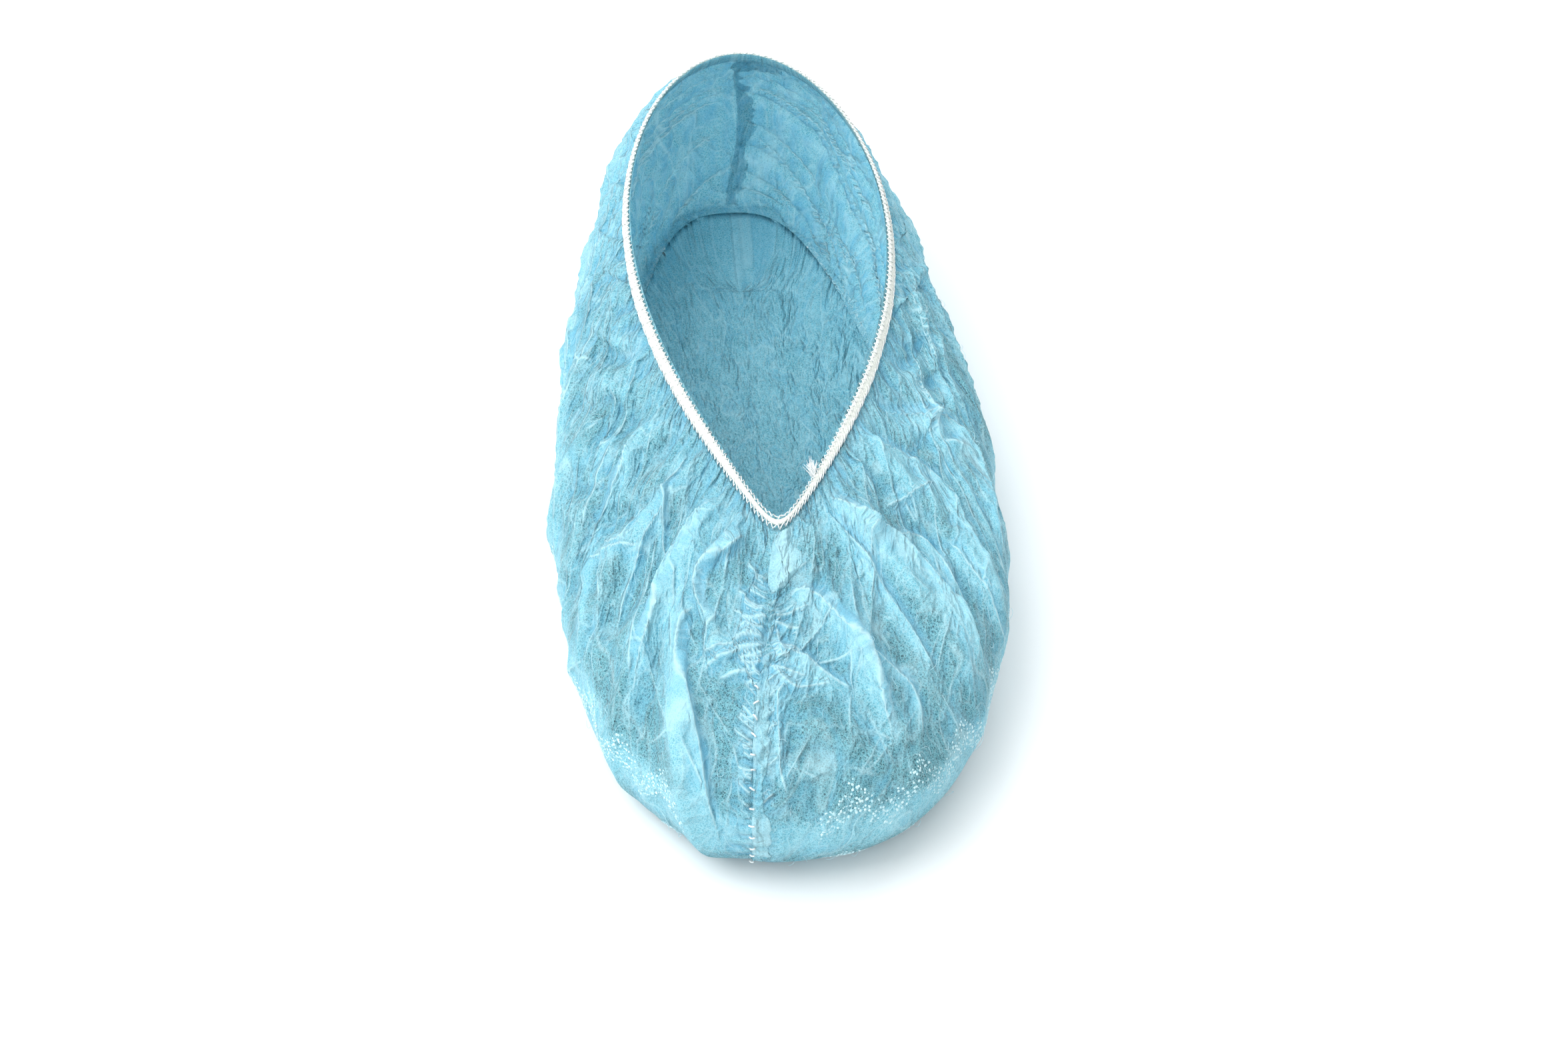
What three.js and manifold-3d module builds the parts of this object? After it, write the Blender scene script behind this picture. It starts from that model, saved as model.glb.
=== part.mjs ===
// An anti-slip disposable shoe cover, in the form it has over a low shoe: a gathered bag of spunbond
// nonwoven with an elasticated mouth, a ruched seam down the toe, a plain seam at the heel, and
// zigzag stripes of grip print under the sole that turn up round its edge.
// Millimetres, +Z up. The toe points to -Y. The origin is the middle of the base, on the floor.
import * as THREE from 'three';
import { mergeVertices } from 'three/addons/utils/BufferGeometryUtils.js';
import Module from 'manifold-3d';

const wasm = await Module();
wasm.setup();
const { clamp, degToRad, lerp, smoothstep } = THREE.MathUtils;

// ---- Driving dimensions -------------------------------------------------------------------------
const LENGTH = 300; // toe to heel, over the shoe
const WIDTH = 127; // across the ball of the foot
const WIDEST_AT = -48; // Y of the widest point
const TOE_POWER = 2.2; // superellipse powers of the two ends of the outline
const HEEL_POWER = 2.8;
const HEEL_TAPER = 0.24; // how much narrower the outline gets towards the heel
const TOE_LEAN = 4; // how far the toe leans to -X, as a left shoe's does
const WALL = 1.5; // modelled thickness of the nonwoven
const GAP = 0.3; // between neighbouring pieces
const TIGHT_GAP = 0.25; // the least that is left of it where a fold crowds a piece

const MOUTH_FRONT = -60; // Y of the two ends of the mouth
const MOUTH_BACK = 134;
const MOUTH_WIDTH = 84;
const MOUTH_HEIGHT = 64; // mean height of the mouth's edge
const MOUTH_RISE = 6; // the heel is this much above the mean, and the toe this much below
const MOUTH_PINCH = 0.68; // how far the mouth narrows to a point at the toe
const MOUTH_PINCH_POWER = 2.5;
const MOUTH_LEAN = 4.5; // how far its point leans to -X

const BULGE_HEIGHT = 26; // where the bag is widest, above the floor
const BULGE_TILT = 3; // the heel's bulge is this much higher, and the toe's lower
const SOLE_INSET = 11; // from the bulge in to the edge of the flat sole
const TOE_SPRING = 7; // lift of the sole at the tip of the toe
const TOE_SPRING_FROM = -100; // Y where that lift starts
// How the wall's profile leaves the mouth, in degrees below the level, and how far below the shoulder
// it turns upright, in millimetres: at the toe, the sides and the heel.
const DROOP = [10, 48, 66];
const SHOULDER = [27, 22, 24];
const MOUTH_HANDLE = 0.45; // lengths of the profile's curve handles, as shares of their spans
const SOLE_HANDLE = 0.55;
const SEAM_SHIFT = 15; // how far round to -X of the tip the toe seam runs under
const SPINE_FRONT = -100; // Y of the ends of the sole's middle line
const SPINE_BACK = 100;

const BAND_WIDTH = 4.2; // the elastic
const BAND_THICK = 1.1;
const BAND_STRIP = 5.6; // smooth strip of the bag that the elastic lies on

// Seam allowances, each laid to the +X side of its seam. columns: the bag's columns that it lies
// over, from the sewn edge out. bottom: how far it stops from the sole's middle line. pucker: how
// far every other step of its free edge is drawn up.
const FLAP_THICK = 1.2;
const TOE_FLAP = { columns: [0, 1, 2], bottom: 30, steps: 26, pucker: 2.2 };
const HEEL_FLAP = { columns: [54, 53], bottom: 50, steps: 12, pucker: 0.8 };

const PRINT_THICK = 0.9; // grip stripes
const PRINT_WIDTH = 5; // of a stripe's line
const PRINT_SWING = 8; // of the zigzag, from side to side
// Stripes on the flat of the sole: their place from its middle line (0) to its edge (1), and the
// columns that they leave bare beside each seam.
const SOLE_STRIPES = [
  { place: 0.22, bare: 14 },
  { place: 0.51, bare: 10 },
  { place: 0.8, bare: 4 },
];
// Stripes turned up on the wall: the wall's row at the foot of their zigzag.
const EDGE_STRIPES = [
  { foot: 13, bare: 4 },
  { foot: 10, bare: 4 },
];

const SOLE_HEIGHT = PRINT_THICK + GAP; // underside of the bag

// ---- Mesh density -------------------------------------------------------------------------------
const COLUMNS = 108; // round the bag, four to each zigzag of the print
const CROWDING = 0.3; // how much closer the columns stand at the toe than on average
const WALL_ROWS = 13; // from the elastic's strip down to the sole's edge
const ROW_CROWDING = 0.4; // how much closer the rows stand at the sole's edge than on average
const SOLE_ROWS = 2; // from there to the middle line
const PROFILE_STEPS = 24; // samples of each half of a wall's profile

// ---- Folds --------------------------------------------------------------------------------------
// A crest runs down the wall between from and to, where the elastic is 0 and the sole's edge 1. It
// passes start, middle and end, each a share of the way round from toe seam (0) to heel seam (1).
// side: 1 is +X and -1 is -X. high, wide: the crest's height and half width in millimetres.
const FOLDS = [
  { side: -1, from: 0.45, to: 1.02, start: 0.0, middle: 0.075, end: 0.03, high: 6, wide: 9 },
  { side: -1, from: 0.0, to: 0.5, start: 0.02, middle: 0.085, end: 0.0, high: 4, wide: 9 },
  { side: -1, from: 0.0, to: 1.0, start: 0.1, middle: 0.14, end: 0.13, high: 3.5, wide: 10 },
  { side: -1, from: 0.0, to: 0.9, start: 0.17, middle: 0.22, end: 0.25, high: 3.5, wide: 11 },
  { side: -1, from: 0.0, to: 0.8, start: 0.27, middle: 0.31, end: 0.32, high: 3, wide: 10 },
  { side: -1, from: 0.05, to: 0.95, start: 0.38, middle: 0.4, end: 0.39, high: 3.5, wide: 12 },
  { side: -1, from: 0.0, to: 0.8, start: 0.49, middle: 0.51, end: 0.49, high: 3.5, wide: 11 },
  { side: -1, from: 0.0, to: 0.9, start: 0.6, middle: 0.6, end: 0.61, high: 4, wide: 12 },
  { side: -1, from: 0.05, to: 0.85, start: 0.71, middle: 0.7, end: 0.72, high: 3.5, wide: 12 },
  { side: -1, from: 0.0, to: 0.95, start: 0.82, middle: 0.81, end: 0.81, high: 3.5, wide: 11 },
  { side: -1, from: 0.03, to: 0.8, start: 0.92, middle: 0.91, end: 0.9, high: 3, wide: 10 },
  { side: 1, from: 0.4, to: 0.8, start: 0.0, middle: 0.06, end: 0.15, high: 4, wide: 9 },
  { side: 1, from: 0.0, to: 0.85, start: 0.05, middle: 0.1, end: 0.14, high: 3.5, wide: 10 },
  { side: 1, from: 0.0, to: 0.9, start: 0.12, middle: 0.19, end: 0.23, high: 3.5, wide: 11 },
  { side: 1, from: 0.0, to: 0.85, start: 0.22, middle: 0.28, end: 0.31, high: 3.5, wide: 11 },
  { side: 1, from: 0.0, to: 0.9, start: 0.36, middle: 0.38, end: 0.37, high: 3, wide: 11 },
  { side: 1, from: 0.0, to: 0.8, start: 0.48, middle: 0.5, end: 0.47, high: 4, wide: 13 },
  { side: 1, from: 0.05, to: 0.9, start: 0.6, middle: 0.59, end: 0.58, high: 3, wide: 12 },
  { side: 1, from: 0.0, to: 0.85, start: 0.71, middle: 0.71, end: 0.7, high: 3.5, wide: 12 },
  { side: 1, from: 0.05, to: 0.95, start: 0.83, middle: 0.82, end: 0.82, high: 3.5, wide: 11 },
  { side: 1, from: 0.0, to: 0.8, start: 0.93, middle: 0.92, end: 0.92, high: 3, wide: 10 },
];
const GATHERS = 27; // small pleats that the elastic draws up, all round the mouth
const GATHER_HIGH = 1.1;
const GATHER_FADE = 0.4; // share of the wall they reach down
const RUCHES = 4; // puckers across the toe seam
const RUCHE_HIGH = 1.6;
const RUCHE_REACH = 24; // millimetres to each side of the seam

// ---- The three rings that the wall is drawn through -----------------------------------------------
// Each runs once round from the toe through +X, and getPointAt spaces it evenly.
const signedPower = (value, power) => Math.sign(value) * Math.abs(value) ** power;
const toeLean = (y) => TOE_LEAN * smoothstep(-y, 0, LENGTH / 2);

class MouthRing extends THREE.Curve {
  getPoint(t, target = new THREE.Vector3()) {
    const turn = 2 * Math.PI * t;
    const toeward = (1 + Math.cos(turn)) / 2;
    const pinch = 1 - MOUTH_PINCH * toeward ** MOUTH_PINCH_POWER;
    const middle = (MOUTH_FRONT + MOUTH_BACK) / 2;
    const reach = (MOUTH_BACK - MOUTH_FRONT) / 2;
    return target.set(
      (MOUTH_WIDTH / 2) * Math.sin(turn) * pinch - MOUTH_LEAN * toeward ** 3,
      middle - reach * Math.cos(turn),
      MOUTH_HEIGHT - MOUTH_RISE * Math.cos(turn),
    );
  }
}

class OutlineRing extends THREE.Curve {
  constructor(inset) {
    super();
    this.inset = inset;
  }

  getPoint(t, target = new THREE.Vector3()) {
    const turn = 2 * Math.PI * t;
    const toeward = Math.cos(turn) > 0;
    const power = 2 / (toeward ? TOE_POWER : HEEL_POWER);
    const reach = (toeward ? LENGTH / 2 + WIDEST_AT : LENGTH / 2 - WIDEST_AT) - this.inset;
    const y = WIDEST_AT - reach * signedPower(Math.cos(turn), power);
    const taper = 1 - HEEL_TAPER * smoothstep(y, WIDEST_AT, LENGTH / 2);
    const halfWidth = (WIDTH / 2) * taper - this.inset;
    return target.set(halfWidth * signedPower(Math.sin(turn), power) - toeLean(y), y, 0);
  }
}

const mouthRing = new MouthRing();
const bulgeRing = new OutlineRing(0);
const soleRing = new OutlineRing(SOLE_INSET);
for (const ring of [mouthRing, bulgeRing, soleRing]) ring.arcLengthDivisions = 1500;
const MOUTH_HALF = mouthRing.getLength() / 2;
const BULGE_HALF = bulgeRing.getLength() / 2;

// How much a place round the bag belongs to the toe (1), the sides (0) or the heel (-1).
const endness = (around) => Math.cos(2 * Math.PI * around);

// A value that is one thing at the toe, another at the sides and a third at the heel.
function byPlace(around, [toe, side, heel]) {
  const end = endness(around);
  return lerp(side, end > 0 ? toe : heel, end ** 2);
}

// Underside of the bag at a place on the sole: flat, with the toe lifted.
function soleHeightAt(y) {
  const share = clamp((TOE_SPRING_FROM - y) / (TOE_SPRING_FROM + LENGTH / 2), 0, 1);
  return SOLE_HEIGHT + TOE_SPRING * share ** 2;
}

// ---- The smooth wall, before its folds ------------------------------------------------------------
// Its profile at one place round the bag is two cubic curves: from the mouth to the bulge, and from
// the bulge in under to the sole's edge.
function wallProfile(around) {
  const shift = (SEAM_SHIFT / 2 / BULGE_HALF) * (0.5 + endness(around) / 2) ** 2;
  const mouth = mouthRing.getPointAt(around);
  const bulge = bulgeRing.getPointAt((around - shift + 1) % 1);
  const sole = soleRing.getPointAt((around - shift + 1) % 1);
  bulge.z = BULGE_HEIGHT - BULGE_TILT * endness(around);
  sole.z = soleHeightAt(sole.y);

  const outward = new THREE.Vector3(bulge.x - mouth.x, bulge.y - mouth.y, 0).normalize();
  const droop = degToRad(byPlace(around, DROOP));
  const leaving = outward.clone().multiplyScalar(Math.cos(droop)).setZ(-Math.sin(droop));
  const shoulder = byPlace(around, SHOULDER);
  const upper = new THREE.CubicBezierCurve3(
    mouth,
    mouth.clone().addScaledVector(leaving, MOUTH_HANDLE * mouth.distanceTo(bulge)),
    bulge.clone().setZ(bulge.z + shoulder),
    bulge,
  );
  const lower = new THREE.CubicBezierCurve3(
    bulge,
    bulge.clone().setZ(lerp(bulge.z, sole.z, SOLE_HANDLE)),
    sole.clone().lerp(bulge.clone().setZ(sole.z), SOLE_HANDLE),
    sole,
  );
  return [...upper.getPoints(PROFILE_STEPS), ...lower.getPoints(PROFILE_STEPS).slice(1)];
}

function lineLength(points) {
  return points.slice(1).reduce((sum, point, i) => sum + point.distanceTo(points[i]), 0);
}

// The point at a given length along a line of points.
function alongLine(points, distance) {
  let left = distance;
  let i = 1;
  while (i < points.length - 1 && left > points[i].distanceTo(points[i - 1])) {
    left -= points[i].distanceTo(points[i - 1]);
    i += 1;
  }
  return points[i - 1].clone().lerp(points[i], left / points[i].distanceTo(points[i - 1]));
}

// down is 0 under the elastic and 1 at the sole's edge. The elastic's strip is above 0, with the
// very edge of the mouth at -1.
function smoothWall(around, down) {
  const profile = wallProfile(around);
  const distance = down < 0 ? BAND_STRIP * (1 + down) : lerp(BAND_STRIP, lineLength(profile), down);
  return alongLine(profile, distance);
}

function smoothNormal(around, down) {
  const step = 0.004;
  const across = smoothWall((around + step) % 1, down)
    .sub(smoothWall((around - step + 1) % 1, down));
  const along = smoothWall(around, Math.min(down + step, 1))
    .sub(smoothWall(around, Math.max(down - step, -1)));
  return along.cross(across).normalize();
}

// ---- Folds, gathers and ruching, as a height along the smooth wall's normal -----------------------
function foldHeight(around, down) {
  return FOLDS.reduce((sum, { side, from, to, start, middle, end, high, wide }) => {
    const span = clamp((down - from) / (to - from), 0, 1);
    const bow = middle - (start + end) / 2;
    const crest = lerp(start, end, span) + 4 * bow * span * (1 - span);
    const place = side * (around > 0.5 ? around - 1 : around) * 2;
    const off = Math.abs(place - crest) * lerp(MOUTH_HALF, BULGE_HALF, down);
    const near = clamp(1 - off / wide, 0, 1);
    return sum + high * near ** 1.4 * Math.sin(Math.PI * span) ** 0.7;
  }, 0);
}

function gatherHeight(turn, down) {
  const fade = clamp(1 - down / GATHER_FADE, 0, 1) * smoothstep(down, 0, 0.08);
  return GATHER_HIGH * fade * Math.cos(2 * Math.PI * GATHERS * turn);
}

function rucheHeight(around, down) {
  const off = Math.min(around, 1 - around) * 2 * lerp(MOUTH_HALF, BULGE_HALF, down);
  const near = clamp(1 - off / RUCHE_REACH, 0, 1);
  return RUCHE_HIGH * near * Math.sin(Math.PI * down) * Math.cos(2 * Math.PI * RUCHES * down);
}

// ---- The bag's outer face as a grid ---------------------------------------------------------------
// turn counts the columns once round, 0 to 1; they stand closer together at the toe.
const aroundAt = (turn) => turn - (CROWDING * Math.sin(2 * Math.PI * turn)) / (2 * Math.PI);

function wallPoint(turn, down) {
  const around = aroundAt(turn);
  const relief = down <= 0 ? 0
    : foldHeight(around, down) + gatherHeight(turn, down) + rucheHeight(around, down);
  const normal = smoothNormal(around, down);
  return { point: smoothWall(around, down).addScaledVector(normal, relief), normal };
}

// The rows of the wall stand closer together near the sole's edge.
const downAt = (share) => share + ROW_CROWDING * share * (1 - share);

// Rows run from the mouth to the sole's middle line; each holds one { point, normal } per column.
function bagGrid() {
  const downs = [-1, ...Array.from({ length: WALL_ROWS + 1 }, (_, i) => downAt(i / WALL_ROWS))];
  const turns = Array.from({ length: COLUMNS }, (_, i) => i / COLUMNS);
  const rows = downs.map((down) => turns.map((turn) => wallPoint(turn, down)));
  const edge = rows.at(-1);
  for (let i = 1; i <= SOLE_ROWS; i += 1) {
    rows.push(edge.map(({ point }, j) => {
      const opposite = edge.at(-j).point;
      const spineY = clamp((point.y + opposite.y) / 2, SPINE_FRONT, SPINE_BACK);
      const spine = new THREE.Vector3(-toeLean(spineY), spineY, 0);
      const flat = point.clone().lerp(spine, i / SOLE_ROWS);
      flat.z = soleHeightAt(flat.y);
      return { point: flat, normal: new THREE.Vector3(0, 0, -1) };
    }));
  }
  return rows;
}

// ---- Turning grids and strips into closed geometry ------------------------------------------------
const quad = (a, b, c, d) => [[a, b, c], [a, c, d]];

// Six times the volume inside a closed set of triangles; negative when they face inward.
function signedVolume(triangles) {
  return triangles.reduce((sum, [a, b, c]) => sum + a.dot(b.clone().cross(c)), 0);
}

function geometryOf(drawn) {
  const triangles = signedVolume(drawn) > 0 ? drawn : drawn.map(([a, b, c]) => [a, c, b]);
  const positions = triangles.flat().flatMap((corner) => corner.toArray());
  const loose = new THREE.BufferGeometry();
  loose.setAttribute('position', new THREE.Float32BufferAttribute(positions, 3));
  const geometry = mergeVertices(loose, 1e-3);
  const corners = Array.from(geometry.index.array);
  const kept = [];
  for (let i = 0; i < corners.length; i += 3) {
    const [a, b, c] = corners.slice(i, i + 3);
    if (a !== b && b !== c && c !== a) kept.push(a, b, c);
  }
  geometry.setIndex(kept);
  geometry.computeVertexNormals();
  return geometry;
}

// The grid's own quads. The last row is the sole's middle line, where the two sides meet.
// Their diagonals rise for two columns and fall for two, as the print's zigzags do.
function gridTriangles(rows) {
  const triangles = [];
  for (let i = 0; i < rows.length - 1; i += 1) {
    for (let j = 0; j < COLUMNS; j += 1) {
      const k = (j + 1) % COLUMNS;
      const [a, b, c, d] = [rows[i][j], rows[i + 1][j], rows[i + 1][k], rows[i][k]];
      triangles.push(...(j % 4 < 2 ? quad(b, c, d, a) : quad(a, b, c, d)));
    }
  }
  return triangles;
}

const raised = (rows, lift) => rows.map((row) => row.map(
  ({ point, normal }) => point.clone().addScaledVector(normal, lift),
));

// A wall of even thickness whose outer face is the grid, open along the first row.
function shellGeometry(rows, thickness) {
  const outer = raised(rows, 0);
  const inner = raised(rows, -thickness);
  const triangles = gridTriangles(outer);
  triangles.push(...gridTriangles(inner).map(([a, b, c]) => [a, c, b]));
  for (let j = 0; j < COLUMNS; j += 1) {
    const k = (j + 1) % COLUMNS;
    triangles.push(...quad(outer[0][j], outer[0][k], inner[0][k], inner[0][j]));
  }
  return geometryOf(triangles);
}

// The whole space inside the bag and its wall, with lift added all round and a lid on the mouth.
function filledGeometry(rows, lift) {
  const outer = raised(rows, lift);
  const [edge] = outer;
  const middle = new THREE.Vector3(0, (MOUTH_FRONT + MOUTH_BACK) / 2, MOUTH_HEIGHT);
  const lid = edge.map((corner, j) => [middle, corner, edge[(j + 1) % COLUMNS]]);
  return geometryOf([...gridTriangles(outer), ...lid]);
}

// A strip through sections that each list their corners in the same order round: along the top
// from one edge to the other, then back along the underside. crossed says which of its quads, by
// section and corner, are split along their other diagonal.
function stripGeometry(sections, { closed = false, crossed = () => false } = {}) {
  const triangles = [];
  const count = closed ? sections.length : sections.length - 1;
  const corners = sections[0].length;
  for (let i = 0; i < count; i += 1) {
    const here = sections[i];
    const next = sections[(i + 1) % sections.length];
    for (let c = 0; c < corners; c += 1) {
      const d = (c + 1) % corners;
      const split = crossed(i, c)
        ? quad(here[d], next[d], next[c], here[c])
        : quad(here[c], here[d], next[d], next[c]);
      triangles.push(...split);
    }
  }
  for (let c = 0; !closed && c < corners / 2 - 1; c += 1) {
    const [first, last] = [sections[0], sections.at(-1)];
    const under = corners - 1 - c;
    triangles.push(...quad(first[under], first[under - 1], first[c + 1], first[c]));
    triangles.push(...quad(last[c], last[c + 1], last[under - 1], last[under]));
  }
  return geometryOf(triangles);
}

const solidOf = (geometry) => new wasm.Manifold(new wasm.Mesh({
  numProp: 3,
  vertProperties: geometry.attributes.position.array,
  triVerts: Uint32Array.from(geometry.index.array),
}));

// What is left of a piece outside a solid.
function cutBy(geometry, solid) {
  const { vertProperties, triVerts } = solidOf(geometry).subtract(solid).getMesh();
  const cut = new THREE.BufferGeometry();
  cut.setAttribute('position', new THREE.BufferAttribute(vertProperties, 3));
  cut.setIndex(new THREE.BufferAttribute(triVerts, 1));
  cut.computeVertexNormals();
  return cut;
}

// ---- Reading places off the bag's outer face ------------------------------------------------------
// One column, from the sole's middle line up to the mouth, as { point, normal } stations.
const columnLine = (rows, column) => rows.map((row) => row.at(column)).reverse();
const columnLength = (line) => lineLength(line.map(({ point }) => point));

// The place at a distance up a column from the middle line, lifted off the face.
function onColumn(line, distance, lift) {
  let left = distance;
  let i = 1;
  while (i < line.length - 1 && left > line[i].point.distanceTo(line[i - 1].point)) {
    left -= line[i].point.distanceTo(line[i - 1].point);
    i += 1;
  }
  const [below, above] = [line[i - 1], line[i]];
  const share = left / above.point.distanceTo(below.point);
  const normal = below.normal.clone().lerp(above.normal, share).normalize();
  return below.point.clone().lerp(above.point, share).addScaledVector(normal, lift);
}

// ---- Pieces ---------------------------------------------------------------------------------------
// The elastic: a flat band laid on the smooth strip at the mouth's edge.
function elasticBand(rows) {
  const [edge, strip] = rows;
  const margin = (BAND_STRIP - BAND_WIDTH) / 2 / BAND_STRIP;
  const sections = edge.map((top, j) => {
    const normal = top.normal.clone().add(strip[j].normal).normalize();
    const place = (share, lift) => top.point.clone().lerp(strip[j].point, share)
      .addScaledVector(normal, lift);
    return [
      place(margin, GAP + BAND_THICK),
      place(1 - margin, GAP + BAND_THICK),
      place(1 - margin, GAP),
      place(margin, GAP),
    ];
  });
  return stripGeometry(sections, { closed: true });
}

// A flap of seam allowance that runs down from the elastic and lies over the given columns, from
// the sewn one to the free one. Every other section's free edge is puckered up.
function seamFlap(rows, filled, { columns, bottom, steps, pucker }) {
  const lines = columns.map((column) => columnLine(rows, column));
  const sections = Array.from({ length: steps + 1 }, (_, i) => {
    const top = lines.map((line, c) => {
      const distance = lerp(columnLength(line) - BAND_STRIP - 1, bottom, i / steps);
      const curl = (pucker * (i % 2) * c) / (lines.length - 1);
      return [onColumn(line, distance, GAP + FLAP_THICK + curl), onColumn(line, distance, GAP + curl)];
    });
    return [...top.map(([high]) => high), ...top.map(([, low]) => low).reverse()];
  });
  return cutBy(stripGeometry(sections), filled);
}

// The columns that a stripe of print crosses down one side, from the toe seam to the heel seam.
function printColumns(side, bare, step) {
  const count = (COLUMNS / 2 - 2 * bare) / step + 1;
  return Array.from({ length: count }, (_, i) => {
    const fromSeam = bare + i * step;
    return { fromSeam, column: side > 0 ? fromSeam : COLUMNS - fromSeam };
  });
}

// A zigzag stripe on the flat of the sole.
function soleStripe(rows, side, { place, bare }) {
  const half = PRINT_WIDTH / 2;
  const sections = printColumns(side, bare, 2).map(({ fromSeam, column }) => {
    const line = columnLine(rows, column);
    const edge = columnLength(line.slice(0, SOLE_ROWS + 1));
    const middle = edge * place + (PRINT_SWING / 2) * (fromSeam % 4 ? 1 : -1);
    const [inner, outer] = [middle - half, middle + half];
    return [
      onColumn(line, inner, GAP + PRINT_THICK),
      onColumn(line, outer, GAP + PRINT_THICK),
      onColumn(line, outer, GAP),
      onColumn(line, inner, GAP),
    ];
  });
  return stripGeometry(sections);
}

// A zigzag stripe turned up on the wall: one row wide, it rises a row over two columns and falls
// again. Its corners lie on the bag's own edges, and its quads are split as the faces under them
// are, all towards the middle of each odd column.
function edgeStripe(rows, side, { foot, bare }) {
  const places = printColumns(side, bare, 1);
  const lifted = ({ point, normal }, lift) => point.clone().addScaledVector(normal, lift);
  const sections = places.map(({ fromSeam, column }) => {
    const rise = 1 - Math.abs((fromSeam % 4) - 2) / 2;
    const onRow = (row, lift) => lifted(rows[Math.floor(row)].at(column), lift)
      .lerp(lifted(rows[Math.ceil(row)].at(column), lift), row % 1);
    const across = [foot - rise, foot - rise + 0.5, foot - rise + 1];
    return [
      ...across.map((row) => onRow(row, GAP + PRINT_THICK)),
      ...across.reverse().map((row) => onRow(row, GAP)),
    ];
  });
  const odd = (i) => places[i].fromSeam % 2 === 1;
  return stripGeometry(sections, { crossed: (i, corner) => corner % 3 === (odd(i) ? 0 : 1) });
}

// ---- Assembly -------------------------------------------------------------------------------------
const nonwoven = { color: 0x86cbe6, roughness: 0.75 };
const elastic = { color: 0xf1f1e6, roughness: 0.85 };
const grip = { color: 0xeef5f6, roughness: 0.55 };
const cover = new THREE.Group();

function addPiece(name, geometry, finish) {
  const mesh = new THREE.Mesh(geometry, new THREE.MeshStandardMaterial(finish));
  mesh.name = name;
  cover.add(mesh);
}

const bag = bagGrid();
const filled = solidOf(filledGeometry(bag, TIGHT_GAP));
addPiece('bag', shellGeometry(bag, WALL), nonwoven);
addPiece('elastic_band', elasticBand(bag), elastic);
addPiece('toe_seam', seamFlap(bag, filled, TOE_FLAP), nonwoven);
addPiece('heel_seam', seamFlap(bag, filled, HEEL_FLAP), nonwoven);
for (const [side, name] of [[1, 'right'], [-1, 'left']]) {
  SOLE_STRIPES.forEach((stripe, i) => {
    addPiece(`sole_stripe_${name}_${i + 1}`, soleStripe(bag, side, stripe), grip);
  });
  EDGE_STRIPES.forEach((stripe, i) => {
    addPiece(`edge_stripe_${name}_${i + 1}`, edgeStripe(bag, side, stripe), grip);
  });
}

// The base stands on the floor, centred on the origin.
const box = new THREE.Box3().setFromObject(cover, true);
cover.position.set(-(box.min.x + box.max.x) / 2, -(box.min.y + box.max.y) / 2, -box.min.z);

export default cover;
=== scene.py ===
"""An anti-slip disposable shoe cover of pale blue spunbond nonwoven, in the form it has over a low shoe."""

import math

import bpy
import numpy as np
from mathutils import Matrix, Vector


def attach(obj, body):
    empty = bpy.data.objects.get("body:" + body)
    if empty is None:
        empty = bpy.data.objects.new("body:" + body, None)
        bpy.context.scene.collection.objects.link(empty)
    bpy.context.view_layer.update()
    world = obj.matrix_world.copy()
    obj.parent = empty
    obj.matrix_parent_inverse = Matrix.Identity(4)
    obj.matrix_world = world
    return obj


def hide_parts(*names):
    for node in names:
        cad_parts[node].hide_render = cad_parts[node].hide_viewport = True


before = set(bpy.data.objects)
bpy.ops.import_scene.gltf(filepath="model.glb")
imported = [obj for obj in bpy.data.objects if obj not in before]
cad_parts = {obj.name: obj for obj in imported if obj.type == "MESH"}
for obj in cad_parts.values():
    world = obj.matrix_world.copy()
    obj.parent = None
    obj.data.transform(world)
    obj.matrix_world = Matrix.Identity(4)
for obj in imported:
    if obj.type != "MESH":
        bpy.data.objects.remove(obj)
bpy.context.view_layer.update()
MM = 0.001

# ---- The cover's form, in millimetres, as the CAD has it but for its folds ----
LENGTH, WIDTH, WIDEST_AT = 300, 127, -48
TOE_POWER, HEEL_POWER, HEEL_TAPER, TOE_LEAN = 2.2, 2.8, 0.24, 4
MOUTH_FRONT, MOUTH_BACK, MOUTH_WIDTH = -60, 134, 84
MOUTH_HEIGHT, MOUTH_RISE, MOUTH_PINCH, MOUTH_PINCH_POWER, MOUTH_LEAN = 64, 6, 0.68, 2.5, 4.5
BULGE_HEIGHT, BULGE_TILT, SOLE_INSET = 26, 3, 11
DROOP, SHOULDER = (10, 48, 66), (27, 22, 24)
MOUTH_HANDLE, SOLE_HANDLE = 0.45, 0.55
TOE_SPRING, TOE_SPRING_FROM, SEAM_SHIFT = 7, -100, 15
SPINE_FRONT, SPINE_BACK, SOLE_HEIGHT = -100, 100, 1.2
BAND_STRIP = 5.6
COLUMNS, CROWDING, WALL_ROWS, ROW_CROWDING = 108, 0.3, 13, 0.4
PRINT_WIDTH, PRINT_SWING = 5, 8
PRINT_FALL = 0.7  # the drawn print is thinner than the CAD's, so the sole sits this much lower
SHIFT = (1.044, 0.870, 0)  # from the form's own centre to the middle of its box

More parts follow.
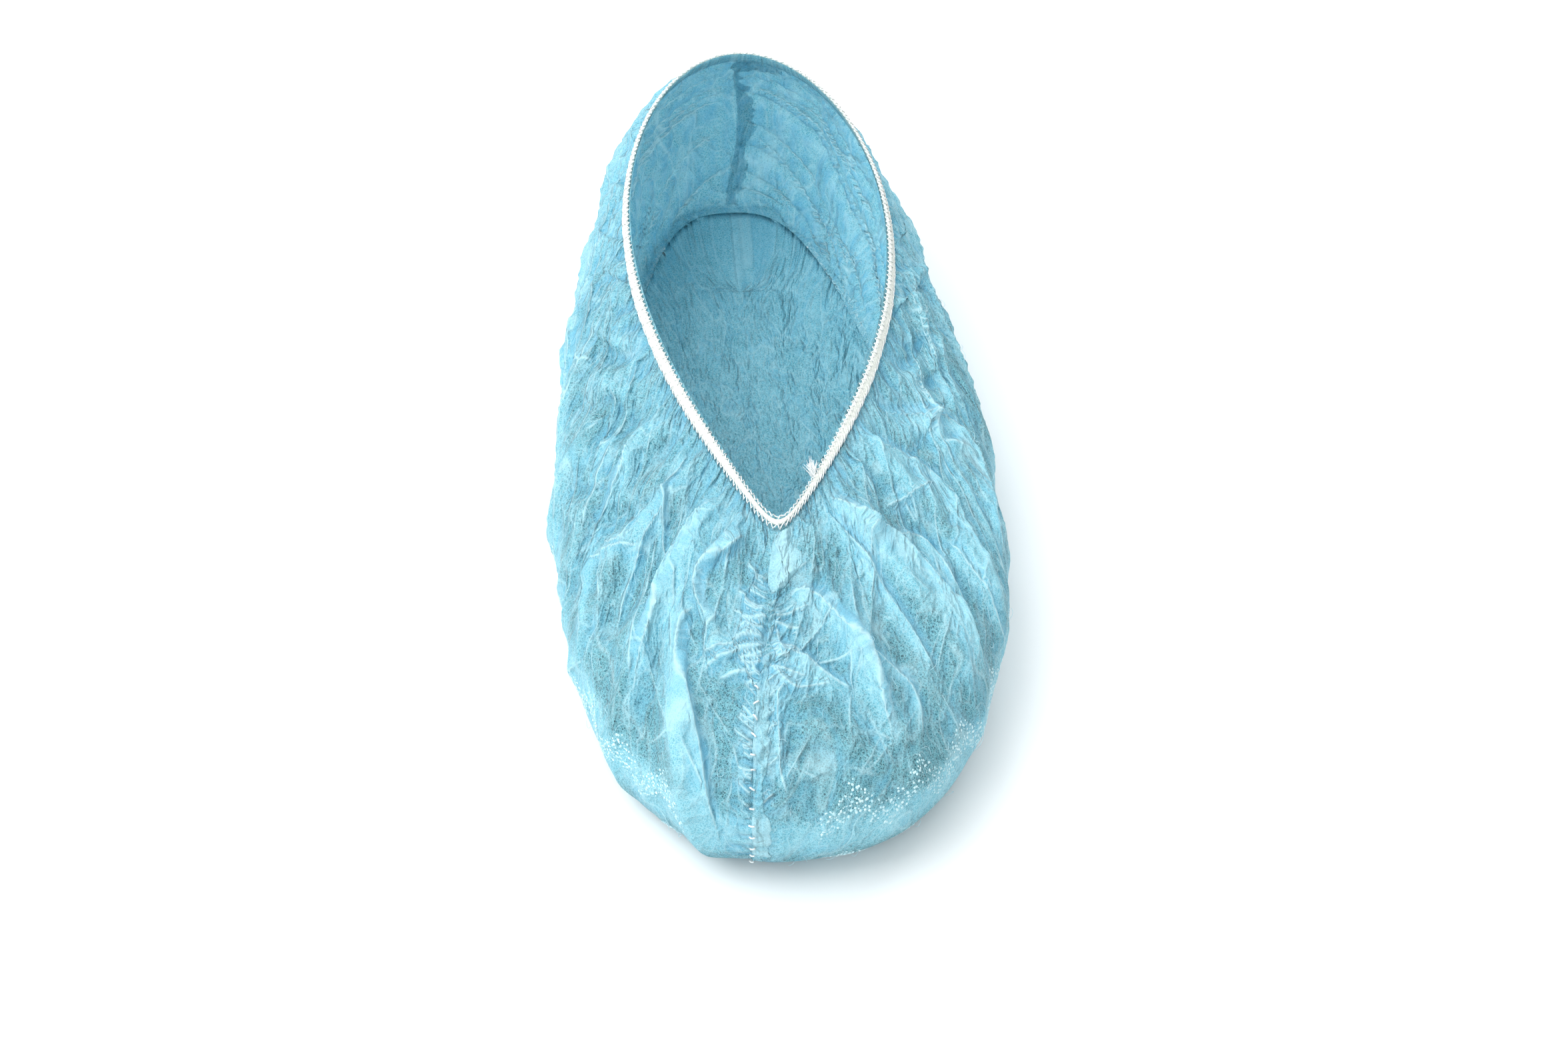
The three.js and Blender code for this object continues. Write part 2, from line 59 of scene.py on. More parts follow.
# Main folds: the side, from where to where down the wall, where the crest starts, passes and ends in
# half turns from the toe, and how high and wide. All but the first are the CAD's, drawn steeper here.
FOLDS = [
    (-1, 0.3, 1.02, 0.095, 0.066, 0.018, 4.5, 11),
    (-1, 0.0, 0.5, 0.02, 0.085, 0.0, 4, 9),
    (-1, 0.0, 1.0, 0.1, 0.14, 0.13, 3.5, 10),
    (-1, 0.0, 0.9, 0.17, 0.22, 0.25, 3.5, 11),
    (-1, 0.0, 0.8, 0.27, 0.31, 0.32, 3, 10),
    (-1, 0.05, 0.95, 0.38, 0.4, 0.39, 3.5, 12),
    (-1, 0.0, 0.8, 0.49, 0.51, 0.49, 3.5, 11),
    (-1, 0.0, 0.9, 0.6, 0.6, 0.61, 4, 12),
    (-1, 0.05, 0.85, 0.71, 0.7, 0.72, 3.5, 12),
    (-1, 0.0, 0.95, 0.82, 0.81, 0.81, 3.5, 11),
    (-1, 0.03, 0.8, 0.92, 0.91, 0.9, 3, 10),
    (1, 0.4, 0.8, 0.0, 0.06, 0.15, 4, 9),
    (1, 0.0, 0.85, 0.05, 0.1, 0.14, 3.5, 10),
    (1, 0.0, 0.9, 0.12, 0.19, 0.23, 3.5, 11),
    (1, 0.0, 0.85, 0.22, 0.28, 0.31, 3.5, 11),
    (1, 0.0, 0.9, 0.36, 0.38, 0.37, 3, 11),
    (1, 0.0, 0.8, 0.48, 0.5, 0.47, 4, 13),
    (1, 0.05, 0.9, 0.6, 0.59, 0.58, 3, 12),
    (1, 0.0, 0.85, 0.71, 0.71, 0.7, 3.5, 12),
    (1, 0.05, 0.95, 0.83, 0.82, 0.82, 3.5, 11),
    (1, 0.0, 0.8, 0.93, 0.92, 0.92, 3, 10),
]
STEEPER = 1.5  # how much narrower a main fold is on one side than on the other


def clamp(x):
    return np.clip(x, 0, 1)


def bell(x, width, power=2):
    """1 where x is 0, and less to both sides, by how wide and how blunt it is."""
    return np.exp(-((np.abs(x) / width) ** power))


def smoothstep(x, low, high):
    t = clamp((x - low) / (high - low))
    return t * t * (3 - 2 * t)


def lerp(a, b, t):
    return a + (b - a) * t


def unit(v):
    return v / np.maximum(np.linalg.norm(v, axis=-1, keepdims=True), 1e-9)


def signed_power(value, power):
    return np.sign(value) * np.abs(value) ** power


def toe_lean(y):
    return TOE_LEAN * smoothstep(-y, 0, LENGTH / 2)


def mouth_ring(t):
    turn = 2 * np.pi * t
    toeward = (1 + np.cos(turn)) / 2
    pinch = 1 - MOUTH_PINCH * toeward**MOUTH_PINCH_POWER
    x = MOUTH_WIDTH / 2 * np.sin(turn) * pinch - MOUTH_LEAN * toeward**3
    y = (MOUTH_FRONT + MOUTH_BACK) / 2 - (MOUTH_BACK - MOUTH_FRONT) / 2 * np.cos(turn)
    return np.stack([x, y, MOUTH_HEIGHT - MOUTH_RISE * np.cos(turn)], axis=-1)


def outline_ring(t, inset):
    turn = 2 * np.pi * t
    toeward = np.cos(turn) > 0
    power = 2 / np.where(toeward, TOE_POWER, HEEL_POWER)
    reach = np.where(toeward, LENGTH / 2 + WIDEST_AT, LENGTH / 2 - WIDEST_AT) - inset
    y = WIDEST_AT - reach * signed_power(np.cos(turn), power)
    taper = 1 - HEEL_TAPER * smoothstep(y, WIDEST_AT, LENGTH / 2)
    half = WIDTH / 2 * taper - inset
    x = half * signed_power(np.sin(turn), power) - toe_lean(y)
    return np.stack([x, y, np.zeros_like(y)], axis=-1)


def run_along(line):
    """The length along a line, or along each column of a grid, at each of its points."""
    steps = np.linalg.norm(np.diff(line, axis=0), axis=-1)
    return np.concatenate([np.zeros((1, *steps.shape[1:])), np.cumsum(steps, axis=0)])


def evenly(curve):
    """A function that gives a closed curve's points at shares of its length, and that length."""
    points = curve(np.linspace(0, 1, 6001))
    run = run_along(points)

    def at(share):
        where = np.mod(share, 1) * run[-1]
        return np.stack([np.interp(where, run, points[:, k]) for k in range(3)], axis=-1)

    return at, run[-1]


mouth_at, mouth_length = evenly(mouth_ring)
bulge_at, bulge_length = evenly(lambda t: outline_ring(t, 0))
sole_at, _ = evenly(lambda t: outline_ring(t, SOLE_INSET))


def by_place(around, values):
    end = np.cos(2 * np.pi * around)
    return lerp(values[1], np.where(end > 0, values[0], values[2]), end**2)


def sole_height(y):
    share = clamp((TOE_SPRING_FROM - y) / (TOE_SPRING_FROM + LENGTH / 2))
    return SOLE_HEIGHT + TOE_SPRING * share**2


def bezier(a, b, c, d, steps):
    t = np.linspace(0, 1, steps + 1)[:, None, None]
    return (1 - t) ** 3 * a + 3 * (1 - t) ** 2 * t * b + 3 * (1 - t) * t * t * c + t**3 * d


def wall(around, downs):
    """Points of the smooth wall, by row (down, from -1 at the mouth's edge to 1) and column (around)."""
    end = np.cos(2 * np.pi * around)
    shift = SEAM_SHIFT / bulge_length * (0.5 + end / 2) ** 2
    mouth, bulge, sole = mouth_at(around), bulge_at(around - shift), sole_at(around - shift)
    bulge[:, 2] = BULGE_HEIGHT - BULGE_TILT * end
    sole[:, 2] = sole_height(sole[:, 1])
    outward = unit((bulge - mouth) * [1, 1, 0])
    droop = np.radians(by_place(around, DROOP))[:, None]
    leaving = outward * np.cos(droop) - np.array([0, 0, 1]) * np.sin(droop)
    span = np.linalg.norm(mouth - bulge, axis=1)[:, None]
    up = np.array([0, 0, 1]) * by_place(around, SHOULDER)[:, None]
    upper = bezier(mouth, mouth + leaving * MOUTH_HANDLE * span, bulge + up, bulge, 40)
    under = bulge.copy()
    under[:, 2] = sole[:, 2]
    knee = bulge.copy()
    knee[:, 2] = lerp(bulge[:, 2], sole[:, 2], SOLE_HANDLE)
    lower = bezier(bulge, knee, lerp(sole, under, SOLE_HANDLE), sole, 40)
    line = np.concatenate([upper, lower[1:]])
    run = run_along(line)
    points = np.empty((len(downs), len(around), 3))
    for j in range(len(around)):
        where = np.where(downs < 0, BAND_STRIP * (1 + downs), lerp(BAND_STRIP, run[-1, j], downs))
        for k in range(3):
            points[:, j, k] = np.interp(where, run[:, j], line[:, j, k])
    return points


def around_at(turn):
    return turn - CROWDING * np.sin(2 * np.pi * turn) / (2 * np.pi)


def down_at(share):
    return share + ROW_CROWDING * share * (1 - share)


# ---- The bag's cloth as a dense grid ----
GRID_COLUMNS = 560
TOE_DENSITY = 0.4  # how much closer the columns are at the toe than evenly spaced ones
STRIP_ROWS = 4
GRID_ROWS = 148
GRID_SOLE_ROWS = 12


def grid_normals(points):
    along = np.gradient(points, axis=0)
    across = np.roll(points, -1, axis=1) - np.roll(points, 1, axis=1)
    return unit(np.cross(along, across))


def smooth_noise(shape, cells, seed):
    """Smooth noise on the grid, periodic round the bag, with so many cells down and round."""
    source = np.random.default_rng(seed).normal(size=(cells[0] + 3, cells[1]))
    rows = np.linspace(0, cells[0], shape[0])
    columns = np.arange(shape[1]) / shape[1] * cells[1]

    def mix(values, at, axis):
        low = np.floor(at).astype(int)
        t = np.expand_dims(smoothstep(at - low, 0, 1), 1 - axis)
        a, b = (np.take(values, (low + k) % values.shape[axis], axis=axis) for k in (0, 1))
        return a * (1 - t) + b * t

    return mix(mix(source, rows, 0), columns, 1)


even = np.arange(GRID_COLUMNS + 1) / GRID_COLUMNS
column_turns = even - TOE_DENSITY * np.sin(2 * np.pi * even) / (2 * np.pi)
arounds = around_at(column_turns[:-1])
shares = np.linspace(0, 1, GRID_ROWS + 1)
downs = np.concatenate([np.linspace(-1, 0, STRIP_ROWS, endpoint=False), down_at(shares)])
base = wall(arounds, downs)
normals = grid_normals(base)
wall_lengths = np.linalg.norm(np.diff(base, axis=0), axis=2).sum(axis=0)
A, D = np.meshgrid(arounds, downs)
signed_turn = np.where(A > 0.5, A - 1, A)
wall_down = clamp(D)
place_mm = signed_turn * lerp(mouth_length, bulge_length, wall_down)  # round it from the toe
heel_mm = (0.5 - np.abs(signed_turn)) * bulge_length
depth_mm = wall_down * wall_lengths
CLOTH_RADIUS = bulge_length / (2 * np.pi)


def fold_height():
    """The main folds' height over the wall."""
    total = np.zeros_like(A)
    reach = lerp(mouth_length / 2, bulge_length / 2, wall_down)
    for side, start_down, end_down, start, middle, end, high, wide in FOLDS:
        span = clamp((wall_down - start_down) / (end_down - start_down))
        crest = lerp(start, end, span) + 4 * (middle - (start + end) / 2) * span * (1 - span)
        off = (side * signed_turn * 2 - crest) * reach
        near = clamp(1 - np.where(off > 0, off, -off * STEEPER) / wide)
        total += high * near**1.25 * np.sin(np.pi * span) ** 0.7
    return total


def rim_pleats(count, seed):
    """Small pleats that the elastic draws up, each with its own width, height and reach."""
    source = np.random.default_rng(seed)
    total = np.zeros_like(A)
    column = np.arange(GRID_COLUMNS)
    for k in range(count):
        middle = (k + source.uniform(-0.4, 0.4)) / count * GRID_COLUMNS
        wide = source.uniform(2.2, 4.6)
        high = source.uniform(0.5, 1.5)
        reach = source.choice([12, 18, 30, 50], p=[0.3, 0.3, 0.25, 0.15])
        drift = source.normal() * 0.06
        sway = (column[None, :] - middle - drift * depth_mm + GRID_COLUMNS / 2) % GRID_COLUMNS
        off = np.abs(sway - GRID_COLUMNS / 2)
        grow = wide * (1 + depth_mm / 40)
        near = clamp(1 - off / grow)
        fade = clamp(1 - depth_mm / reach) * smoothstep(depth_mm, -1, 2.5)
        total += high * near**1.3 * fade**0.8
    return total - total.mean(axis=1, keepdims=True)


def seam_puckers():
    """Tight puckers across the toe seam and, weaker, across the heel seam."""
    wobble = smooth_noise(D.shape, (10, 40), 3) * 1.4
    toe = bell(place_mm, 9, 1.3)
    heel = bell(heel_mm, 8, 1.3)
    wave = np.sin(2 * np.pi * (depth_mm + wobble + np.abs(place_mm) * 0.25) / 4.2)
    sharp = 1 - 2 * np.abs(wave) ** 0.8
    live = smoothstep(D, 0.02, 0.1) * (1 - smoothstep(D, 0.93, 1))
    return 0.75 * sharp * (toe + 0.7 * heel) * live


def creases(count, seed):
    """Fine random creases, most of them running with the fan of folds."""
    source = np.random.default_rng(seed)
    total = np.zeros_like(A)
    cell, row_cell = bulge_length / GRID_COLUMNS, wall_lengths.mean() / GRID_ROWS
    for _ in range(count):
        r0, c0 = source.uniform(0, D.shape[0]), source.uniform(0, GRID_COLUMNS)
        angle = source.normal() * 0.55 if source.random() < 0.7 else source.uniform(0, math.pi)
        length, wide = source.uniform(7, 26), source.uniform(0.7, 1.6)
        high = source.uniform(0.15, 0.55) * source.choice([1, 1, -1])
        bend = source.normal() * 0.012
        reach = int(length / min(cell, row_cell)) + 4
        r = np.unique(np.clip(np.arange(int(r0) - reach, int(r0) + reach), 0, D.shape[0] - 1))
        c = np.arange(int(c0) - reach, int(c0) + reach)
        dy = (r[:, None] - r0) * row_cell
        dx = (c[None, :] - c0) * cell
        u = dy * math.cos(angle) + dx * math.sin(angle)
        v = -dy * math.sin(angle) + dx * math.cos(angle) + bend * u * u
        bump = high * bell(v, wide, 1.5) * clamp(1 - (u / length) ** 2)
        np.add.at(total, (r[:, None], c[None, :] % GRID_COLUMNS), bump)
    return total


CREST_REACH = 1.3  # how far from its middle a crest's pale line is strong


def crumpled(fans, links, seed):
    """Random ridges with straight sides, as paper-like cloth keeps them: their height, how strong their
    crests are and the way to the strongest. Long ones fan out from the mouth, and shorter ones link them."""
    source = np.random.default_rng(seed)
    high_total, crest_total, off_total = (np.zeros_like(A) for _ in range(3))
    kinds = [True] * fans + [False] * links
    for k, is_fan in enumerate(kinds):
        if is_fan:
            middle = (k + source.uniform(0.1, 0.9)) / fans * bulge_length
            begin, length = source.uniform(-8, 18), source.uniform(50, 105)
            angle, bend = source.normal() * 0.16, source.normal() * 0.0022
            high = source.uniform(1.2, 3.0)
            sides = source.permutation([source.uniform(6, 12), source.uniform(1.8, 3.4)])
        else:
            middle, begin = source.uniform(0, bulge_length), source.uniform(0, 100)
            length, bend = source.uniform(9, 34), source.normal() * 0.008
            angle = source.choice([-1, 1]) * source.uniform(0.25, 1.05)
            high, sides = source.uniform(0.4, 1.4), source.uniform(1.8, 5.0, 2)
        across = (place_mm - middle + bulge_length / 2) % bulge_length - bulge_length / 2
        along = (depth_mm - begin) * math.cos(angle) + across * math.sin(angle)
        off = across * math.cos(angle) - (depth_mm - begin) * math.sin(angle) + bend * along**2
        swell = np.sin(np.pi * clamp(along / length)) ** 0.5
        near = clamp(1 - np.where(off > 0, off / sides[0], -off / sides[1]))
        high_total = np.maximum(high_total, high * swell * near)
        crest = min(1, high / 1.5) * swell * bell(off, CREST_REACH)
        off_total = np.where(crest > crest_total, off, off_total)
        crest_total = np.maximum(crest_total, crest)
    patches = 0.45 + 0.55 * smoothstep(smooth_noise(D.shape, (30, 110), 77), -0.6, 0.6)
    return high_total, crest_total * patches, off_total


# Ridges that the toe's cloth keeps where it is bunched towards the seam: height, how wide the side is to
# the right and to the left of the line as it runs, and the line's places: round the cloth from the toe,
# and down it. The lines were read off the photograph. More than half of the places are just what a
# scratch program made of those readings, and the rest were moved or added by hand. Heights and widths
# were chosen.
TOE_RIDGES = [
    (3.2, 11, 2.2, [
        (21, 2), (31, 15), (39, 28), (49, 39), (56, 51), (61, 60), (69, 73), (71, 84), (73, 95), (80, 106),
    ]),
    (2.6, 8, 2, [(18, 3), (27, 19), (33, 30), (37, 39), (40, 50), (45, 62), (49, 72), (52, 81), (55, 92)]),
    (2.4, 9, 2, [(3, 24), (10, 29), (17, 36), (23, 49), (29, 62), (32, 73), (35, 90), (36, 99)]),
    (2, 7, 1.8, [(45, 36), (61, 45), (67, 54), (69, 64), (72, 72), (73, 79)]),
    (2.8, 11, 2.4, [(46, 2), (67, 22), (83, 39), (85, 50), (86, 60), (89, 73), (92, 81), (93, 95)]),
    (2.4, 10, 2.4, [(58, 2), (92, 27), (112, 42), (120, 55), (114, 64), (110, 74), (113, 92)]),
    (1.6, 6, 1.8, [(73, 54), (81, 69), (86, 79), (88, 89), (95, 102)]),
    (1.3, 3, 1.6, [(39, 3), (48, 18), (46, 28)]),
    (1.2, 2, 4, [(50, 28), (61, 33), (83, 41)]),
    (1.6, 5, 1.8, [(29, 63), (38, 74), (44, 84), (45, 91), (44, 100)]),
    (1.5, 6, 1.6, [(22, 43), (16, 47), (8, 52)]),
    (3, 8, 1.8, [(2, 41), (5, 47), (12, 54), (16, 61), (21, 68), (29, 77)]),
    (1.5, 1.8, 4, [(0, 46), (5, 57), (9, 63), (15, 65), (22, 69)]),
    (1.3, 3, 3, [(5, 57), (5, 67), (6, 82), (9, 95)]),
    (1, 3, 1.5, [(27, 63), (21, 60), (13, 57)]),
    (2.8, 2.2, 9, [(-24, 4), (-33, 26), (-38, 43), (-37, 52), (-40, 70), (-39, 92)]),
    (2, 7, 1.8, [(-44, 5), (-48, 22), (-46, 30), (-42, 35), (-37, 43)]),
    (2.6, 2.2, 10, [(-68, 10), (-78, 35), (-80, 45), (-81, 55), (-77, 64), (-70, 76), (-70, 92)]),
    (1.8, 7, 2.2, [(-44, 22), (-52, 41), (-53, 52), (-54, 60), (-55, 76)]),
    (3, 4, 1.7, [(-11, 9), (-20, 25), (-24, 34), (-23, 42), (-14, 50)]),
    (2.6, 15, 1.8, [
        (-22, 42), (-26, 52), (-25, 61), (-23, 69), (-19, 77), (-16, 83), (-13, 92), (-9, 103), (-4, 118),
    ]),
    (2.2, 4, 1.3, [(-2, 38), (-6, 42), (-12, 51), (-22, 60)]),
    (1.8, 3, 1.2, [(-1, 42), (-8, 49), (-15, 58), (-19, 64)]),
    (1.5, 3, 1.2, [(0, 32), (-5, 36), (-12, 45)]),
    (1.1, 2, 4, [(-78, 62), (-62, 50), (-50, 42)]),
    (1.1, 4, 2, [(-58, 30), (-60, 47), (-75, 56)]),
]


def seam_tucks(seed):
    """Short ridges that run off the toe seam to both sides, in the form of TOE_RIDGES."""
    source = np.random.default_rng(seed)
    tucks = []
    for depth in np.arange(19, 94, 1.9):
        for side in (-1, 1):
            gathered = depth < 52
            long = source.uniform(6, 14) if gathered else source.uniform(2.5, 7)
            fall = smoothstep(depth, 26, 40) * 0.9 if gathered else -0.2
            fall += (0.2 if gathered else 0.4) * source.normal()
            high = source.uniform(0.5, 1.4) * (1.6 if gathered else 1)
            gentle, steep = source.uniform(1.6, 2.8), 1.1
            places = [
                (side * (0.5 + long * t), depth + long * fall * t + 0.4 * source.normal())
                for t in (0, 0.35, 0.7, 1)
            ]
            if source.random() < (0.85 if gathered else 0.5):
                tucks.append((high, steep, gentle, places) if side > 0 else (high, gentle, steep, places))
    return tucks


def sharp_ridges(ridges):
    """Ridges along given lines: height, crests and ways to them, as above, and their steep sides' shade."""
    high_total, crest_total, off_total, shade_total = (np.zeros_like(A) for _ in range(4))
    for high, right, left, places in ridges:
        places = np.array(places, float)
        at = np.linspace(0, len(places) - 1, 14 * (len(places) - 1) + 1)
        line = np.stack([np.interp(at, np.arange(len(places)), places[:, k]) for k in (0, 1)], axis=1)
        for _ in range(12):
            line[1:-1] = (line[:-2] + 2 * line[1:-1] + line[2:]) / 4
        way = unit(np.gradient(line, axis=0))
        low, top = line.min(axis=0) - max(right, left), line.max(axis=0) + max(right, left)
        near = (place_mm > low[0]) & (place_mm < top[0]) & (depth_mm > low[1]) & (depth_mm < top[1])
        gap = np.stack([place_mm[near], depth_mm[near]], axis=1)[:, None] - line
        far = np.linalg.norm(gap, axis=2)
        nearest, off = far.argmin(axis=1), far.min(axis=1)
        gap = gap[np.arange(len(gap)), nearest]
        on_right = way[nearest, 0] * gap[:, 1] > way[nearest, 1] * gap[:, 0]
        share = nearest / (len(line) - 1)
        swell = smoothstep(share, 0, 0.15) * (1 - smoothstep(share, 0.7, 1))
        steep_side = on_right == (right < left)
        slope = clamp(1 - off / np.where(on_right, right, left)) ** np.where(steep_side, 1, 1.5)
        high_total[near] = np.maximum(high_total[near], high * swell * slope)
        crest = min(1, high / 1.3) * swell * bell(off, CREST_REACH)
        off_total[near] = np.where(crest > crest_total[near], np.where(on_right, off, -off), off_total[near])
        crest_total[near] = np.maximum(crest_total[near], crest)
        shade_here = min(0.75, high / 3.4) * swell * bell(off - 1.2, 1.1) * steep_side
        shade_total[near] = np.maximum(shade_total[near], shade_here)
    return high_total, crest_total, off_total, shade_total


def excess():
    """How much longer than the smooth form the cloth is, round it and down it."""
    slack = 0.5 + 0.5 * smooth_noise(D.shape, (5, 16), 41)
    seam = bell(place_mm, 7, 1.5)
    round_it = 0.05 + 0.03 * slack + 0.42 * np.exp(-depth_mm / 9) + 0.1 * np.exp(-depth_mm / 30)
    down_it = 0.018 + 0.03 * slack + 0.22 * seam
    ends = 1 - 0.8 * smoothstep(D, 0.88, 1)
    return np.maximum(round_it * ends, 0), np.maximum(down_it * ends, 0)


MOMENTUM, GIVE = 0.85, 0.3  # what each round keeps of the last one's motion, and how far it mends the lengths
SINK, RISE = -0.7, 3.4  # how far the cloth may go into its form, and off it


def relax(points, rest_points, away, slack, rounds, bend):
    """Lets the cloth buckle into folds over the form beneath it, within SINK and RISE of it."""
    rows = len(points)
    round_it, down_it = slack
    steps = [((0, rows), (0, rows), 1), ((0, rows - 1), (1, rows), 0),
             ((0, rows - 1), (1, rows), 1), ((0, rows - 1), (1, rows), -1)]
    rests = []
    for (a0, a1), (b0, b1), shift in steps:
        gap = np.roll(rest_points[b0:b1], -shift, axis=1) - rest_points[a0:a1]
        across, along = round_it[a0:a1], down_it[a0:a1]
        grow = across if b0 == 0 else along if shift == 0 else (across + along) / 2
        rests.append(np.linalg.norm(gap, axis=2) * (1 + grow))
    free = np.ones(points.shape[:2])
    free[0] = free[-1] = 0
    free[:, 0] = 0
    before = points.copy()
    for _ in range(rounds):
        moved = points + MOMENTUM * (points - before)
        before = points
        push = np.zeros_like(points)
        for ((a0, a1), (b0, b1), shift), rest in zip(steps, rests):
            gap = np.roll(moved[b0:b1], -shift, axis=1) - moved[a0:a1]
            length = np.linalg.norm(gap, axis=2)
            pull = gap * (0.5 * (length - rest) / np.maximum(length, 1e-6))[..., None]
            push[a0:a1] += pull
            push[b0:b1] -= np.roll(pull, shift, axis=1)
        mean = (np.roll(moved, 1, 1) + np.roll(moved, -1, 1)) / 2
        mean[1:-1] = (mean[1:-1] + (moved[2:] + moved[:-2]) / 2) / 2
        moved = moved + (GIVE * push + bend * (mean - moved)) * free[..., None]
        lift = ((moved - rest_points) * away).sum(axis=2)
        held = np.clip(lift, SINK, RISE)
        points = moved + away * (held - lift)[..., None]
    return points


relief = fold_height() * smoothstep(D, 0, 0.03)
form = base + normals * relief[..., None]
away = grid_normals(form)
start = 0.5 * rim_pleats(150, 11) + 0.4 * seam_puckers() + 0.12 * creases(500, 5)
start += 0.25 * smooth_noise(D.shape, (37, 140), 9) + 0.9 * smooth_noise(D.shape, (10, 44), 19)
start *= smoothstep(D, -0.02, 0.05) * (1 - 0.85 * smoothstep(D, 0.9, 1.0))


def buckled():
    """The cloth after it has buckled, from coarse folds to fine ones."""
    wall_form, wall_away = form[STRIP_ROWS:], away[STRIP_ROWS:]
    round_it, down_it = (field[STRIP_ROWS:] for field in excess())
    offset = (wall_away * start[STRIP_ROWS:, :, None])[::4, ::4]
    for step, rounds, bend in ((4, 260, 0.02), (2, 160, 0.03), (1, 70, 0.05)):
        here, normal = wall_form[::step, ::step], wall_away[::step, ::step]
        slack = (round_it[::step, ::step], down_it[::step, ::step])
        kick = normal * (0.15 * start[STRIP_ROWS::step, ::step, None])
        offset = relax(here + offset + kick, here, normal, slack, rounds, bend) - here
        if step > 1:
            wider = np.repeat(offset, 2, axis=0)[:-1]
            wider[1::2] = (offset[1:] + offset[:-1]) / 2
            offset = np.repeat(wider, 2, axis=1)
            offset[:, 1::2] = (wider + np.roll(wider, -1, axis=1)) / 2
    inner = offset[1:-1]
    mean = (offset[2:] + offset[:-2] + np.roll(inner, 1, 1) + np.roll(inner, -1, 1)) / 4
    offset[1:-1] = inner + 0.5 * (mean - inner)
    return offset


BUCKLING, LESS_AT_TOE = 0.75, 0.2  # how much of the buckling the cloth keeps
FANS, LINKS = 62, 330
toe_area = 1 - smoothstep(np.abs(place_mm), 75, 110)
cloth = form.copy()
cloth[STRIP_ROWS:] += (BUCKLING - LESS_AT_TOE * toe_area[STRIP_ROWS:, :, None]) * buckled()
sharp, crest_lines, line_off = crumpled(FANS, LINKS, 23)
off_heel = 1 - bell(heel_mm, 6)
sharp, crest_lines = sharp * off_heel, crest_lines * off_heel
fade = smoothstep(D, 0.0, 0.08) * (1 - smoothstep(D, 0.84, 0.98))
fade *= 1 - 0.85 * bell(place_mm - 4, 7) * (1 - smoothstep(D, 0.2, 0.28))
ridge_high, ridge_lines, ridge_off, ridge_shade = sharp_ridges(TOE_RIDGES + seam_tucks(7))
crest_lines = crest_lines * (1 - 0.4 * toe_area)
line_off = np.where(ridge_lines > crest_lines, ridge_off, line_off)
crest_lines = np.maximum(crest_lines, ridge_lines) * fade
cloth += away * ((sharp * (1 - 0.35 * toe_area) + ridge_high) * fade)[..., None]
height = ((cloth - base) * normals).sum(axis=2)


def sole_rows(edge, count):
    """Rows from the wall's foot to the sole's middle line."""
    opposite = np.roll(edge[::-1], 1, axis=0)
    spine_y = np.clip((edge[:, 1] + opposite[:, 1]) / 2, SPINE_FRONT, SPINE_BACK)
    spine = np.stack([-toe_lean(spine_y), spine_y, np.zeros_like(spine_y)], axis=-1)
    rows = []
    for i in range(1, count + 1):
        flat = lerp(edge, spine, i / count)
        flat[:, 2] = sole_height(flat[:, 1])
        rows.append(flat)
    return np.array(rows)


sole_grid = sole_rows(cloth[-1], GRID_SOLE_ROWS)
sheet_grid = np.concatenate([cloth, sole_grid])


def settle(points):
    """Lowers what is near the floor, since the drawn print is thinner than the solid one."""
    lowered = points + np.array(SHIFT)
    lowered[..., 2] -= PRINT_FALL * clamp(1 - points[..., 2] / 30)
    lowered[..., 2] = np.maximum(lowered[..., 2], 0.1)
    return lowered


# ---- Mesh helpers ----
def add_object(name, data):
    thing = bpy.data.objects.new(name, data)
    bpy.context.scene.collection.objects.link(thing)
    return thing


def add_mesh(name, vertices, faces, material):
    mesh = bpy.data.meshes.new(name)
    vertices = np.maximum(vertices, [-np.inf, -np.inf, 0])  # nothing goes through the floor
    mesh.from_pydata([tuple(v) for v in vertices * MM], [], faces)
    mesh.update()
    mesh.shade_smooth()
    mesh.materials.append(material)
    piece = add_object(name, mesh)
    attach(piece, "root")
    return piece


def grid_faces(rows, columns, closed, flip=False):
    i, j = np.meshgrid(np.arange(rows - 1), np.arange(columns if closed else columns - 1), indexing="ij")
    k = (j + 1) % columns
    here, after = i * columns, (i + 1) * columns
    quads = np.stack([here + j, after + j, after + k, here + k], axis=-1)
    if flip:
        quads = quads[..., ::-1]
    return quads.reshape(-1, 4)


def paint(piece, name, values):
    """Keeps at each point a value, or as "flat" its place in the cloth's own space, in metres."""
    kind, field = ("FLOAT_VECTOR", "vector") if name == "flat" else ("FLOAT", "value")
    layer = piece.data.attributes.new(name, kind, "POINT")
    layer.data.foreach_set(field, np.asarray(values, np.float32).ravel())


def circles(way, axis, sides):
    """Unit circles round each way, with so many points each, that start beside an axis."""
    helper = np.where(np.abs(way[:, axis, None]) > 0.9, [[1.0, 0, 0]], np.eye(3)[axis])
    side = unit(np.cross(way, helper))
    other = np.cross(way, side)
    angles = 2 * np.pi * np.arange(sides) / sides
    return side[:, None] * np.cos(angles)[None, :, None] + other[:, None] * np.sin(angles)[None, :, None]


